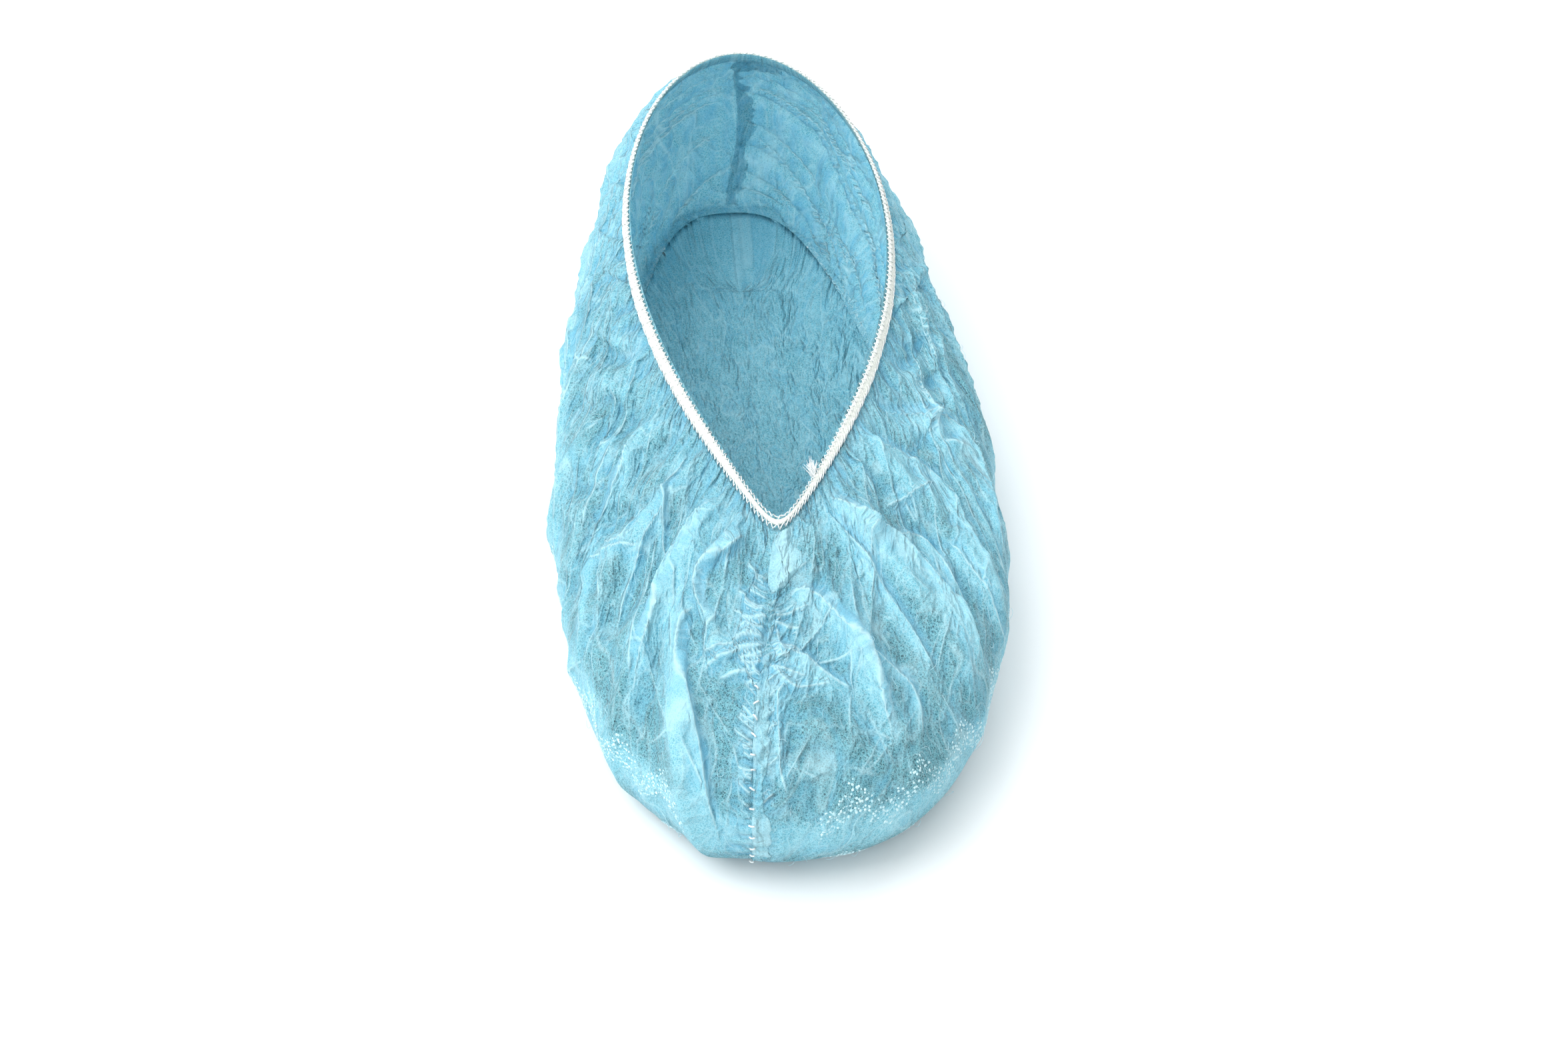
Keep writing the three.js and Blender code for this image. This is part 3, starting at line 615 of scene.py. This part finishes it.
def add_tubes(name, lines, radii, sides, material):
    """Many closed tubes as one piece. Each line is an (n, 3) array."""
    vertices, faces, start = [], [], 0
    for line, radius in zip(lines, radii):
        line = np.asarray(line, float)
        ring = circles(unit(np.gradient(line, axis=0)), 2, sides)
        size = np.broadcast_to(np.asarray(radius, float), (len(line),))
        vertices.append((line[:, None] + ring * size[:, None, None]).reshape(-1, 3))
        wall_faces = np.roll(grid_faces(len(line), sides, True, flip=True), 1, axis=1)
        end = np.arange(start, start + sides)
        last_end = end + (len(line) - 1) * sides
        faces += (wall_faces + start).tolist() + [end[::-1].tolist(), last_end.tolist()]
        start += len(line) * sides
    add_mesh(name, np.concatenate(vertices), faces, material)


# ---- Materials ----
class Nodes:
    """Short calls for building one material's node tree."""

    def __init__(self, name):
        self.material = bpy.data.materials.new(name)
        self.material.use_nodes = True
        self.tree = self.material.node_tree
        self.shader = self.tree.nodes["Principled BSDF"]
        self.output = self.tree.nodes["Material Output"]
        self.coords = self.add("ShaderNodeTexCoord").outputs["Object"]

    def add(self, kind, inputs=None, **settings):
        node = self.tree.nodes.new(kind)
        for key, value in settings.items():
            setattr(node, key, value)
        self.put(node, inputs or {})
        return node

    def put(self, node, inputs):
        for name, value in inputs.items():
            socket = node.inputs[name]
            if isinstance(value, bpy.types.NodeSocket):
                self.tree.links.new(value, socket)
            else:
                socket.default_value = value

    def turned(self, scale, coords=None, rotation=(0, 0, 0)):
        inputs = {"Vector": coords or self.coords, "Scale": scale, "Rotation": rotation}
        return self.add("ShaderNodeMapping", inputs).outputs["Vector"]

    def noise(self, scale, detail=2.0, roughness=0.5, coords=None, output="Fac"):
        inputs = {"Vector": coords or self.coords, "Scale": scale, "Detail": detail, "Roughness": roughness}
        return self.add("ShaderNodeTexNoise", inputs).outputs[output]

    def cells(self, scale, coords, feature="F1"):
        inputs = {"Vector": coords, "Scale": scale}
        return self.add("ShaderNodeTexVoronoi", inputs, feature=feature).outputs["Distance"]

    def swayed(self, coords, scale, amount):
        """The coordinates pushed about by a noise, by up to so many metres."""
        push = self.noise(scale, 1, 0.5, coords, output="Color")
        halves = {0: push, 1: (0.5, 0.5, 0.5)}
        push = self.add("ShaderNodeVectorMath", halves, operation="SUBTRACT").outputs[0]
        inputs = {0: push, 1: (amount, amount, amount), 2: coords}
        return self.add("ShaderNodeVectorMath", inputs, operation="MULTIPLY_ADD").outputs[0]

    def math(self, operation, a, b=0.0, clamp=False):
        return self.add("ShaderNodeMath", {0: a, 1: b}, operation=operation, use_clamp=clamp).outputs[0]

    def times(self, first, *others):
        for other in others:
            first = self.math("MULTIPLY", first, other)
        return first

    def plus(self, a, b):
        return self.math("ADD", a, b)

    def less(self, a, b):
        return self.math("SUBTRACT", a, b)

    def most(self, a, b):
        return self.math("MAXIMUM", a, b)

    def between(self, value, low, high):
        inputs = {"Value": value, "From Min": low, "From Max": high}
        return self.add("ShaderNodeMapRange", inputs, clamp=True).outputs[0]

    def mix(self, factor, a, b):
        a, b = (v if isinstance(v, bpy.types.NodeSocket) else (*v, 1) for v in (a, b))
        return self.add("ShaderNodeMix", {0: factor, 6: a, 7: b}, data_type="RGBA").outputs[2]

    def attribute(self, name, output="Fac"):
        return self.add("ShaderNodeAttribute", attribute_name=name).outputs[output]

    def bump(self, value, strength, distance, normal=None):
        inputs = {"Height": value, "Strength": strength, "Distance": distance}
        return self.add("ShaderNodeBump", inputs | ({"Normal": normal} if normal else {})).outputs[0]


def fibre_net(n, scale, rotation):
    """Pale matted fibres: the borders of swayed cells."""
    coords = n.swayed(n.turned((1, 1, 1), rotation=rotation), scale * 0.6, 1.3 / scale)
    return n.between(n.cells(scale, coords, "DISTANCE_TO_EDGE"), 0.12, 0.0)


def tent(n, value, slope):
    """A sharp crest where the noise crosses its middle."""
    return n.math("SUBTRACT", 1.0, n.times(n.math("ABSOLUTE", n.less(value, 0.5)), slope), True)


def nonwoven_material():
    """Spunbond cloth: a net of pale fibres over a thin ground that darkens where it lies on the shoe."""
    n = Nodes("nonwoven")
    flat, contact = n.attribute("flat", "Vector"), n.attribute("contact")
    rest, airy = n.between(contact, 0.0, 1.0), n.between(contact, -0.1, -1.0)
    seam, rim, painted_shade = n.attribute("seam"), n.attribute("rim"), n.attribute("painted_shade")
    crest, off = n.between(n.attribute("crest"), 0.12, 0.6), n.math("ABSOLUTE", n.attribute("off"))

    # Creases of several sizes, which run down the cloth, and those across it at the seam and the rim
    swayed = n.swayed(flat, 45, 0.012)
    long_ways = n.turned((1, 1, 0.42), swayed)
    facets, facet_edges = n.cells(64, long_ways), n.cells(64, long_ways, "DISTANCE_TO_EDGE")
    fold_noise = n.noise(62, 1.5, 0.5, long_ways)
    folds = tent(n, fold_noise, 4.5)
    small_folds = tent(n, n.noise(150, 1.5, 0.5, n.turned((1, 1, 0.7), swayed)), 4.5)
    fine_folds = tent(n, n.noise(330, 1.5, 0.5, n.turned((1, 1, 0.6), swayed)), 4.5)
    tucks = tent(n, n.noise(230, 1.5, 0.5, n.turned((0.3, 0.3, 1), n.swayed(flat, 140, 0.006))), 4)
    pleats = tent(n, n.noise(230, 1, 0.4, n.turned((1, 1, 0.12), swayed)), 4)
    crumple = n.times(facets, 2.2)
    for relief_part, strength in (
        (folds, 0.4), (small_folds, 0.6), (fine_folds, 0.25), (n.times(tucks, seam), 1.2),
        (n.times(pleats, rim), 0.9), (n.times(crest, n.between(off, 1.4, 0.0)), 0.5),
    ):
        crumple = n.plus(crumple, n.times(relief_part, strength))
    folded = n.bump(crumple, 1.0, 0.0013)

    # The ground under the fibres, what darkens and pales it, and the shade painted into folds, tucks, pleats
    # and hollows
    cloud, speck = n.noise(110, 3, 0.6), n.noise(1350, 2, 0.6)
    net = n.most(fibre_net(n, 1050, (0.3, 0.2, 0.5)), fibre_net(n, 1600, (0.9, 0.4, -0.3)))
    ground = n.mix(n.between(cloud, 0.3, 0.7), (0.135, 0.485, 0.605), (0.19, 0.56, 0.69))
    ground = n.mix(n.times(rest, 0.9), ground, (0.04, 0.19, 0.235))
    ground = n.mix(n.times(airy, 0.6), ground, (0.36, 0.72, 0.83))
    specks = n.times(n.between(speck, 0.47, 0.58), n.plus(n.times(rest, 0.75), 0.2), n.less(1.0, airy))
    ground = n.mix(specks, ground, (0.02, 0.075, 0.095))
    ground = n.mix(n.times(net, 0.8), ground, n.mix(rest, (0.44, 0.78, 0.86), (0.27, 0.62, 0.7)))
    # Painted shade on one side of each noise fold's crest
    beside_fold = n.less(fold_noise, 0.5)
    shade = n.times(n.between(beside_fold, 0.006, 0.04), n.between(beside_fold, 0.1, 0.04), 0.3)
    ground = n.mix(shade, ground, (0.17, 0.53, 0.72))
    # Painted shade in the hollows between the seam's tucks and between the rim's pleats
    tuck_shade = n.times(n.less(1.0, tucks), seam)
    pleat_shade = n.times(n.less(1.0, pleats), n.times(rim, 0.6))
    ground = n.mix(n.times(n.most(tuck_shade, pleat_shade), 0.65), ground, (0.1, 0.43, 0.68))
    # Painted shade: darker blue in the hollows, beside the ridges' steep sides and in the flaps' pucker
    # troughs
    ground = n.mix(n.times(painted_shade, 0.6), ground, (0.13, 0.47, 0.7))

    # Pale lines on the crests: painted highlight, and partly the paler tone of cloth folded double there
    lines = n.between(folds, 0.9, 1.0)
    for crests, low, high, strength in (
        (small_folds, 0.86, 1.0, 0.7), (fine_folds, 0.84, 1.0, 0.35), (facet_edges, 0.05, 0.01, 0.5),
    ):
        lines = n.most(lines, n.times(n.between(crests, low, high), strength))
    lines = n.times(lines, n.between(cloud, 0.3, 0.55), 0.6)
    lines = n.most(lines, n.times(crest, n.between(off, 0.55, 0.12)))
    colour = n.mix(n.times(lines, 0.82), ground, (0.55, 0.85, 0.92))
    normal = n.bump(speck, 0.5, 0.0003, folded)
    n.put(n.shader, {
        "Base Color": colour, "Normal": normal,
        "Roughness": 0.72, "Sheen Weight": 0.1, "Sheen Roughness": 0.5,
    })
    through = n.add("ShaderNodeBsdfTranslucent", {"Color": colour, "Normal": folded})
    both = n.add("ShaderNodeMixShader", {0: 0.22, 1: n.shader.outputs[0], 2: through.outputs[0]})
    n.put(n.output, {"Surface": both.outputs[0]})
    return n.material


def thread_material(name, colour, dark, scale):
    n = Nodes(name)
    grain = n.noise(scale, 3, 0.6)
    n.put(n.shader, {
        "Base Color": n.mix(n.between(grain, 0.35, 0.7), dark, colour), "Roughness": 0.8, "Sheen Weight": 0.3,
        "Normal": n.bump(grain, 0.4, 0.0002),
    })
    return n.material


nonwoven = nonwoven_material()
elastic = thread_material("elastic", (0.82, 0.85, 0.79), (0.56, 0.6, 0.56), 1400)
thread = thread_material("thread", (0.86, 0.89, 0.88), (0.66, 0.71, 0.71), 2600)
frayed = thread_material("frayed", (0.95, 0.98, 0.98), (0.84, 0.9, 0.91), 2000)
grip = thread_material("grip_dots", (0.68, 0.87, 0.9), (0.38, 0.66, 0.73), 700)
sole_grip = thread_material("sole_grip_dots", (0.9, 0.96, 0.96), (0.74, 0.88, 0.9), 700)
fluff = thread_material("fibre", (0.62, 0.86, 0.93), (0.4, 0.72, 0.82), 3000)

# ---- The bag ----
def blurred(field, times):
    for _ in range(times):
        field = (field + np.roll(field, 1, 1) + np.roll(field, -1, 1)
                 + np.vstack([field[:1], field[:-1]]) + np.vstack([field[1:], field[-1:]])) / 5
    return field


def with_sole(field, sole=None):
    """A field of the wall with the sole's rows after it: 0, or as told."""
    sole = np.zeros(GRID_COLUMNS) if sole is None else sole
    rows = np.repeat(sole[None], GRID_SOLE_ROWS, axis=0)
    return np.concatenate([field, rows])


hollow = clamp((blurred(height, 6) - height) / 0.5)
raised = with_sole(height, height[-1]) - 0.7 * with_sole(relief)
over_toe = smoothstep(np.abs(grid_normals(base)[..., 2]), 0.12, 0.5) * smoothstep(-base[..., 1], -90, -20)
over_toe *= 1 - np.clip(blurred(crest_lines, 4), 0, 0.8)
over_toe *= 0.4 + 0.6 * smoothstep(depth_mm, 4, 24)
lifted = blurred(clamp(ridge_high / 2.6) * fade, 4)
contact = (1 - smoothstep(blurred(raised, 2), 0.8, 4.2)) * with_sole(over_toe) - with_sole(lifted)
seam_near = bell(place_mm, 6, 1.5) + 0.7 * bell(bulge_length / 2 - np.abs(place_mm), 5, 1.5)
rim_near = bell(depth_mm, 9, 1.2) * smoothstep(D, -0.2, 0.02)

# The cloth's own space is a tube, so its patterns meet at the heel. The sole closes its end.
cloth_turn = 2 * np.pi * with_sole(A, A[-1])
inward = np.concatenate([np.zeros(len(downs)), np.arange(1, GRID_SOLE_ROWS + 1) / GRID_SOLE_ROWS])[:, None]
x, y = CLOTH_RADIUS * np.cos(cloth_turn), CLOTH_RADIUS * np.sin(cloth_turn) * (1 - inward)

sheet_faces = grid_faces(len(sheet_grid), GRID_COLUMNS, True).tolist()
bag = add_mesh("bag_cloth", settle(sheet_grid).reshape(-1, 3), sheet_faces, nonwoven)
# Crest lines, which the material paints pale as a highlight and raises as bumps
paint(bag, "crest", with_sole(crest_lines))
paint(bag, "off", with_sole(line_off))
# Painted shade, darker in the hollows and beside the steep sides of the ridges
paint(bag, "painted_shade", with_sole(np.maximum(0.8 * hollow, ridge_shade * fade)))
paint(bag, "contact", contact)
paint(bag, "seam", with_sole(seam_near * smoothstep(D, 0.05, 0.2)))
paint(bag, "rim", with_sole(rim_near))
paint(bag, "flat", np.stack([x, y, with_sole(depth_mm, wall_lengths)], axis=-1) * MM)
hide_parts("bag")


# ---- Reading places off the cloth ----
final = settle(cloth)
final_normals = unit(np.stack([blurred(part, 8) for part in np.moveaxis(grid_normals(final), 2, 0)], axis=-1))


def column_of(turn):
    """The grid's column, with its fraction, at a turn round the bag."""
    return np.interp(np.mod(turn, 1), column_turns, np.arange(GRID_COLUMNS + 1))


def columns_at(turn):
    """The grid's two columns beside a turn round the bag, and the share of the way between them."""
    column = column_of(turn)
    low = np.floor(column).astype(int)
    return low % GRID_COLUMNS, (low + 1) % GRID_COLUMNS, (column - low)[..., None]


def on_cloth(turn, down, lift):
    """Points above the bag's cloth at turns round it and shares down it."""
    turn, down, lift = np.broadcast_arrays(*(np.asarray(v, float) for v in (turn, down, lift)))
    row = np.interp(down, downs, np.arange(len(downs)))
    i0 = np.clip(np.floor(row).astype(int), 0, len(downs) - 2)
    fi = (row - i0)[..., None]
    j0, j1, fj = columns_at(turn)

    def read(field):
        upper, lower = (lerp(field[i, j0], field[i, j1], fj) for i in (i0, i0 + 1))
        return lerp(upper, lower, fi)

    return read(final) + unit(read(final_normals)) * lift[..., None]


# ---- The elastic ----
BAND_WIDTH, BAND_THICK, RIB = 3.7, 0.9, 1.25
BAND_MIDDLE = 2.8  # from the mouth's edge down to the elastic's middle line
# The elastic's section, with two rounded edges and a hollow between: across it and off the cloth
BAND_SECTION = [(-1, -0.3), (-1, 0.35), (-0.82, 0.85), (-0.4, 1), (0, 0.9), (0.4, 1),
                (0.82, 0.85), (1, 0.35), (1, -0.3), (0.8, -1), (-0.8, -1)]


def rim_frames(turn):
    """At turns round the mouth: the edge point, the way down the strip and the way off the cloth."""
    j0, j1, t = columns_at(turn)
    edge, strip, off = (lerp(row[j0], row[j1], t) for row in (final[0], final[STRIP_ROWS], final_normals[1]))
    return edge, unit(strip - edge), unit(off)


def even_turns(count):
    line = np.vstack([final[0], final[0, :1]])
    run = run_along(line)
    where = np.arange(count) / count * run[-1]
    return np.interp(where, run, column_turns), run[-1]


def make_elastic():
    turn, length = even_turns(1500)
    edge, down, off = rim_frames(turn)
    where = np.arange(len(turn)) / len(turn) * length
    ribs = int(length / RIB)
    wave = np.cos(2 * np.pi * ribs * where / length)
    narrow = 1 - 0.5 * bell(np.mod(turn + 0.5, 1) - 0.5, 0.08)
    half = BAND_WIDTH / 2 * narrow * (1 + 0.03 * wave)
    thick = BAND_THICK / 2 * (1 + 0.2 * wave)
    middle = edge + down * BAND_MIDDLE + off * (0.25 + BAND_THICK / 2)
    rows = [middle + down * (u * half)[:, None] + off * (v * thick)[:, None] for u, v in BAND_SECTION]
    faces = grid_faces(len(rows), len(turn), True)
    j, last = np.arange(len(turn)), (len(rows) - 1) * len(turn)
    k = (j + 1) % len(turn)
    faces = np.concatenate([faces, np.stack([last + j, j, k, last + k], axis=1)]).tolist()
    band = add_mesh("elastic_band_knit", np.concatenate(rows), faces, elastic)
    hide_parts("elastic_band")


def make_overlock():
    """The overlock thread's loops over both edges of the elastic."""
    turn, length = even_turns(int(480 / 2.1))
    count = len(turn)
    lines = []
    for side in (-1, 1):
        line = []
        for k in range(count + 1):
            for step, (reach, lift) in enumerate(((0.55, 1.15), (1.05, 0.75), (1.32, 0.15), (1.05, 0.8))):
                at = turn[k % count : k % count + 1] + (step / 4) / count
                edge, down, off = rim_frames(at)
                wobble = 0.12 * math.sin(k * 2.3 + step * 1.7 + side)
                below = BAND_MIDDLE + side * (BAND_WIDTH / 2) * (reach + wobble)
                spot = edge + down * below + off * (0.2 + lift)
                line.append(spot[0])
        lines.append(np.array(line))
    add_tubes("overlock_thread", lines, [0.17, 0.17], 5, thread)


make_elastic()
make_overlock()


# ---- The seam flaps ----
USUAL_DEPTH = 110  # the wall's length from the elastic to the sole's edge, about


def seam_turn(down):
    """The sewn line's small wander to each side, as a share of a turn."""
    return 1.5 / bulge_length * np.sin(8.3 * down + 0.6) * smoothstep(down, 0.05, 0.3)


def make_flap(name, node, columns, down_range, puff, side):
    """Seam allowance folded to one side. At its top it is a puffed tongue, then it is ruched and
    narrow, and lower down it is a smooth double band beside the stitches."""
    steps, across = 420, 18
    u, v = np.linspace(0, 1, steps), np.linspace(0, 1, across)
    U, V = np.meshgrid(u, v, indexing="ij")
    wave = smooth_noise((steps, 8), (34, 4), 21)[:, :1]
    edge_wave = smooth_noise((steps, 8), (70, 4), 22)[:, :1]
    tongue = 1 - smoothstep(U, 0.15, 0.2)
    low = smoothstep(U, 0.38, 0.46)
    ruched = 1 - tongue - low
    spread = lerp(0.72, 1.15, smoothstep(U, 0.05, 0.12)) * (1 - 0.6 * smoothstep(U, 0.14, 0.19))
    wide = tongue * spread * 1.8 + ruched * (0.34 + 0.16 * wave) + low * (0.5 + 0.1 * wave + 0.05 * edge_wave)
    down = lerp(down_range[0], down_range[1], U)
    start_turn = 0 if node == "toe_seam" else 0.5
    turn = start_turn + seam_turn(down) + side * (V - 0.12) * wide * (columns / COLUMNS)
    body = np.sin(np.pi * V) ** 1.1
    pucker = np.sin(2 * np.pi * (U * 30 + 0.5 * wave) + 2 * V)
    edge_lift = bell(V - 0.14, 0.1) + 0.6 * bell(V - 0.88, 0.08)
    lift = tongue * puff * body * (1 + 0.1 * wave) + ruched * (0.4 + 0.45 * pucker)
    lift = lift + low * (0.15 + 0.35 * edge_lift + 0.14 * edge_wave * V + 0.08 * pucker * V)
    lift = np.maximum(lift * np.sin(np.pi * V) ** 0.5 + 0.12, 0.12)
    top = on_cloth(turn, down, lift)
    under = on_cloth(turn, down, np.maximum(lift - 0.3, 0.06))
    grid = np.concatenate([top, under[:, ::-1]], axis=1)
    first_end = np.arange(grid.shape[1])
    last_end = first_end[::-1] + (steps - 1) * len(first_end)
    faces = grid_faces(steps, len(first_end), True, flip=True).tolist()
    faces += [first_end.tolist(), last_end.tolist()]
    piece = add_mesh(name, grid.reshape(-1, 3), faces, nonwoven)
    # Painted light and shade on the flap, with the paler tone of the doubled cloth: paler over the tongue's
    # puff, the puckers' tops and the raised edges, shaded in the puckers' troughs
    pale = tongue * (0.28 + 0.2 * body) + ruched * 0.4 * pucker
    pale = pale + low * (0.22 + 0.12 * edge_lift + 0.15 * wave)
    long_mm = down * USUAL_DEPTH
    for field, values in (
        ("crest", clamp(pale)), ("painted_shade", clamp(-pale)),
        ("contact", (0.3 * ruched + 0.25 * low) * (node == "toe_seam")),
        ("flat", np.stack([V * wide * 12 + 300, 0 * V, long_mm], axis=-1) * MM),
        ("seam", ruched + 0.5 * low), ("rim", np.exp(-long_mm / 5)),
    ):
        paint(piece, field, np.concatenate([values, values], axis=1))
    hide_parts(node)


make_flap("toe_seam_allowance", "toe_seam", 1.9, (0.01, 0.96), 1.1, 1)
make_flap("heel_seam_allowance", "heel_seam", 1.2, (0.01, 0.85), 0.9, -1)


def make_stitches(name, turn, down_range, pitch, long):
    """Short stitches that cross the seam, pulled open by the cloth's tension."""
    depth = wall_lengths[columns_at(turn)[0]]
    count = int(depth * (down_range[1] - down_range[0]) / pitch)
    lines = []
    source = np.random.default_rng(31)
    arch = np.sin(np.linspace(0.2, 2.9, 6))
    for k in range(count):
        middle = lerp(down_range[0], down_range[1], (k + 0.5 + source.uniform(-0.12, 0.12)) / count)
        half = long / 2 / bulge_length * source.uniform(0.8, 1.2)
        slant = source.uniform(-0.5, 0.5) / depth
        turns_here = turn + seam_turn(middle) + np.linspace(-half, half, 6)
        lines.append(on_cloth(turns_here, middle + np.linspace(-slant, slant, 6), 0.45 + 0.45 * arch))
    add_tubes(name, lines, [0.26] * len(lines), 6, thread)


make_stitches("toe_seam_stitches", -0.001, (0.43, 0.95), 4.8, 2.0)
make_stitches("heel_seam_stitches", 0.501, (0.03, 0.85), 4.6, 2.2)


# ---- Grip print: small raised dots along the zigzags ----
SOLE_STRIPES = [(0.22, 14), (0.51, 10), (0.8, 4)]
EDGE_STRIPES = [(13, 4), (10, 4)]
DOT_PITCH, DOT = 1.0, 0.42


def dot_mesh(centres, ups, sizes):
    """One low dome with six sides for each centre."""
    ring = centres[:, None] + circles(ups, 1, 6) * sizes[:, None, None]
    ring -= ups[:, None] * 0.05
    top = centres + ups * (sizes * 0.5)[:, None]
    vertices = np.concatenate([ring, top[:, None]], axis=1).reshape(-1, 3)
    faces = [[7 * k + s, 7 * k + (s + 1) % 6, 7 * k + 6] for k in range(len(centres)) for s in range(6)]
    return vertices, faces


def edge_dots(side, foot, bare, source):
    """Centres and normals of the dots of one stripe on the wall."""
    count = COLUMNS // 2 - 2 * bare

    def place_of(station, across, lift):
        leg = station + bare
        rise = 1 - np.abs(np.mod(leg, 4) - 2) / 2
        share = clamp((foot - 1 - rise + across) / WALL_ROWS)
        return on_cloth(side * leg / COLUMNS, down_at(share), lift)

    stations = np.linspace(0, count, 6000)
    run = run_along(place_of(stations, 0.5, 0.0))
    spots = np.arange(0, run[-1], DOT_PITCH)
    centres, ups = [], []
    for across in np.linspace(0.08, 0.92, 6):
        along = spots + source.uniform(-0.6, 0.6, len(spots)) + DOT_PITCH * (across * 5 % 1) / 2
        at = np.interp(along, run, stations)
        strayed = across + source.uniform(-0.12, 0.12, len(at))
        centres.append(place_of(at, strayed, 0.02))
        ups.append(place_of(at, strayed, 1.02) - centres[-1])
    return np.concatenate(centres), unit(np.concatenate(ups))


def sole_dots(side, place, bare, source):
    """The same for a stripe on the flat of the sole."""
    count = COLUMNS // 2 - 2 * bare
    centres = []
    for across in np.linspace(-1, 1, 6):
        at = np.arange(0, count, 0.19)
        leg = np.clip(at + source.uniform(-0.04, 0.04, len(at)), 0, count) + bare
        phase = np.mod(leg, 4)
        swing = PRINT_SWING / 2 * np.where(phase < 2, phase - 1, 3 - phase)
        j0 = np.round(column_of(side * leg / COLUMNS)).astype(int) % GRID_COLUMNS
        spine, edge = sole_grid[-1, j0], cloth[-1, j0]
        length = np.linalg.norm(edge - spine, axis=1)
        reach = length * place + swing + across * PRINT_WIDTH / 2
        flat = lerp(spine, edge, clamp(reach / length)[:, None])
        flat[:, 2] = sole_height(flat[:, 1])
        centres.append(settle(flat) - [0, 0, 0.06])
    centres = np.concatenate(centres)
    return centres, np.tile([[0, 0, -1.0]], (len(centres), 1))


PRINTS = [
    ("edge", EDGE_STRIPES, edge_dots, 0.08, (0.35, 1.2), grip),
    ("sole", SOLE_STRIPES, sole_dots, 0.03, (1.0, 1.35), sole_grip),
]


def make_print():
    source = np.random.default_rng(17)
    for side, name in ((1, "right"), (-1, "left")):
        for group, stripes, dots, missing, sizes, material in PRINTS:
            for i, stripe in enumerate(stripes, 1):
                centres, ups = dots(side, *stripe, source)
                patch = np.sin(centres[:, 0] * 0.31 + i) * np.sin(centres[:, 1] * 0.23 + 2 * i)
                kept = source.random(len(centres)) > missing * (1 + 2 * patch)
                centres, ups = centres[kept], ups[kept]
                vertices, faces = dot_mesh(centres, ups, DOT * source.uniform(*sizes, len(centres)))
                node = f"{group}_stripe_{name}_{i}"
                piece = add_mesh(f"{node}_dots", vertices, faces, material)
                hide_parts(node)


make_print()

# ---- Frayed end of the elastic, and loose fibres ----
def make_tuft():
    source = np.random.default_rng(5)
    edge, down, off = (v[0] for v in rim_frames(np.array([0.064])))
    lines = []
    for k in range(70):
        spread = source.normal(size=3)
        start = edge + down * 1.2 - off * 0.2 + spread * 0.28
        way = unit(-down * 1.0 + off * 0.25 + np.array([-0.25, 0, 0.55]) + spread * 0.18)
        long = source.uniform(2.5, 5)
        t = np.linspace(0, 1, 7)[:, None]
        curl = source.normal(size=3) * 0.8
        lines.append(start + way * long * t + curl * t**2)
    add_tubes("elastic_frayed_end", lines, [np.linspace(0.14, 0.05, 7)] * len(lines), 4, frayed)


make_tuft()


def make_loose_fibres(count):
    """Single fibres that stand off the matted cloth."""
    source = np.random.default_rng(13)
    lines = []
    for _ in range(count):
        turn, down = source.uniform(0, 1), source.uniform(0.1, 0.97)
        t = np.linspace(0, 1, 7)
        long, heading = source.uniform(2.5, 8), source.uniform(0, 2 * np.pi)
        bowed = heading + source.normal() * 1.6 * t
        turns_here = turn + np.cumsum(np.cos(bowed)) * long / 7 / bulge_length
        downs_here = down + np.cumsum(np.sin(bowed)) * long / 7 / USUAL_DEPTH
        high = source.uniform(0.3, 1.3)
        arch = 0.1 + high * np.sin(np.pi * t * source.uniform(0.5, 1))
        lines.append(on_cloth(turns_here, np.clip(downs_here, 0.02, 1), arch))
    add_tubes("loose_fibres", lines, [0.05] * len(lines), 4, fluff)


make_loose_fibres(260)

# ---- Floor, light and camera ----
floor_nodes = Nodes("floor")
floor_colour = floor_nodes.mix(floor_nodes.noise(3, 2), (0.9, 0.925, 0.93), (0.92, 0.94, 0.945))
floor_nodes.put(floor_nodes.shader, {"Base Color": floor_colour, "Roughness": 0.6})
floor_mesh = bpy.data.meshes.new("floor")
floor_mesh.from_pydata([(-6, -6, 0), (6, -6, 0), (6, 6, 0), (-6, 6, 0)], [], [(0, 1, 2, 3)])
floor_mesh.materials.append(floor_nodes.material)
add_object("floor", floor_mesh)

world = bpy.data.worlds.new("studio")
bpy.context.scene.world = world
world.use_nodes = True
sky = world.node_tree.nodes["Background"].inputs
sky["Color"].default_value = (0.98, 0.99, 1.0, 1)
sky["Strength"].default_value = 0.7


for light_name, light_place, light_size, watts in (
    ("key", (-0.85, -0.05, 1.3), 1.5, 23),
    ("fill", (-0.5, -1.2, 1.0), 1.2, 8),
    ("back", (0.6, 1.1, 1.2), 1.2, 9),
):
    lamp = bpy.data.lights.new(light_name, "AREA")
    lamp.size, lamp.energy = light_size, watts
    light = add_object(light_name, lamp)
    light.location = light_place
    light.rotation_euler = (-Vector(light_place)).to_track_quat("-Z", "Y").to_euler()

# The camera, in degrees, metres and a lens in millimetres. All but the lens and TURN come from a
# least-squares fit to places read off the photograph, with an assumed lens.
ELEVATION, DISTANCE, OFFSET, YAW, LENS = 44.66, 1.2654, (0.0608, 0.00325), 3.15, 96.4
TURN = 3.0  # the camera is turned this much towards the cover, which sits beside the middle of the view


def make_camera():
    e = math.radians(ELEVATION)
    ahead = Vector((0, math.cos(e), -math.sin(e)))
    unturn = Matrix.Rotation(-math.radians(YAW), 3, "Z")
    place = unturn @ (-ahead * DISTANCE - Vector((*OFFSET, 0)))
    right = Vector((1, 0, 0))
    up = right.cross(ahead)
    aim = Matrix.Rotation(-math.radians(TURN), 3, up) @ ahead
    side = aim.cross(up).normalized()
    basis = Matrix((side, side.cross(aim), -aim)).transposed()
    data = bpy.data.cameras.new("camera")
    data.lens, data.sensor_width, data.clip_end = LENS, 36, 50
    camera = add_object("camera", data)
    camera.matrix_world = Matrix.Translation(place) @ (unturn @ basis).to_4x4()
    bpy.context.scene.camera = camera


make_camera()
bpy.context.scene.view_settings.view_transform = "Standard"
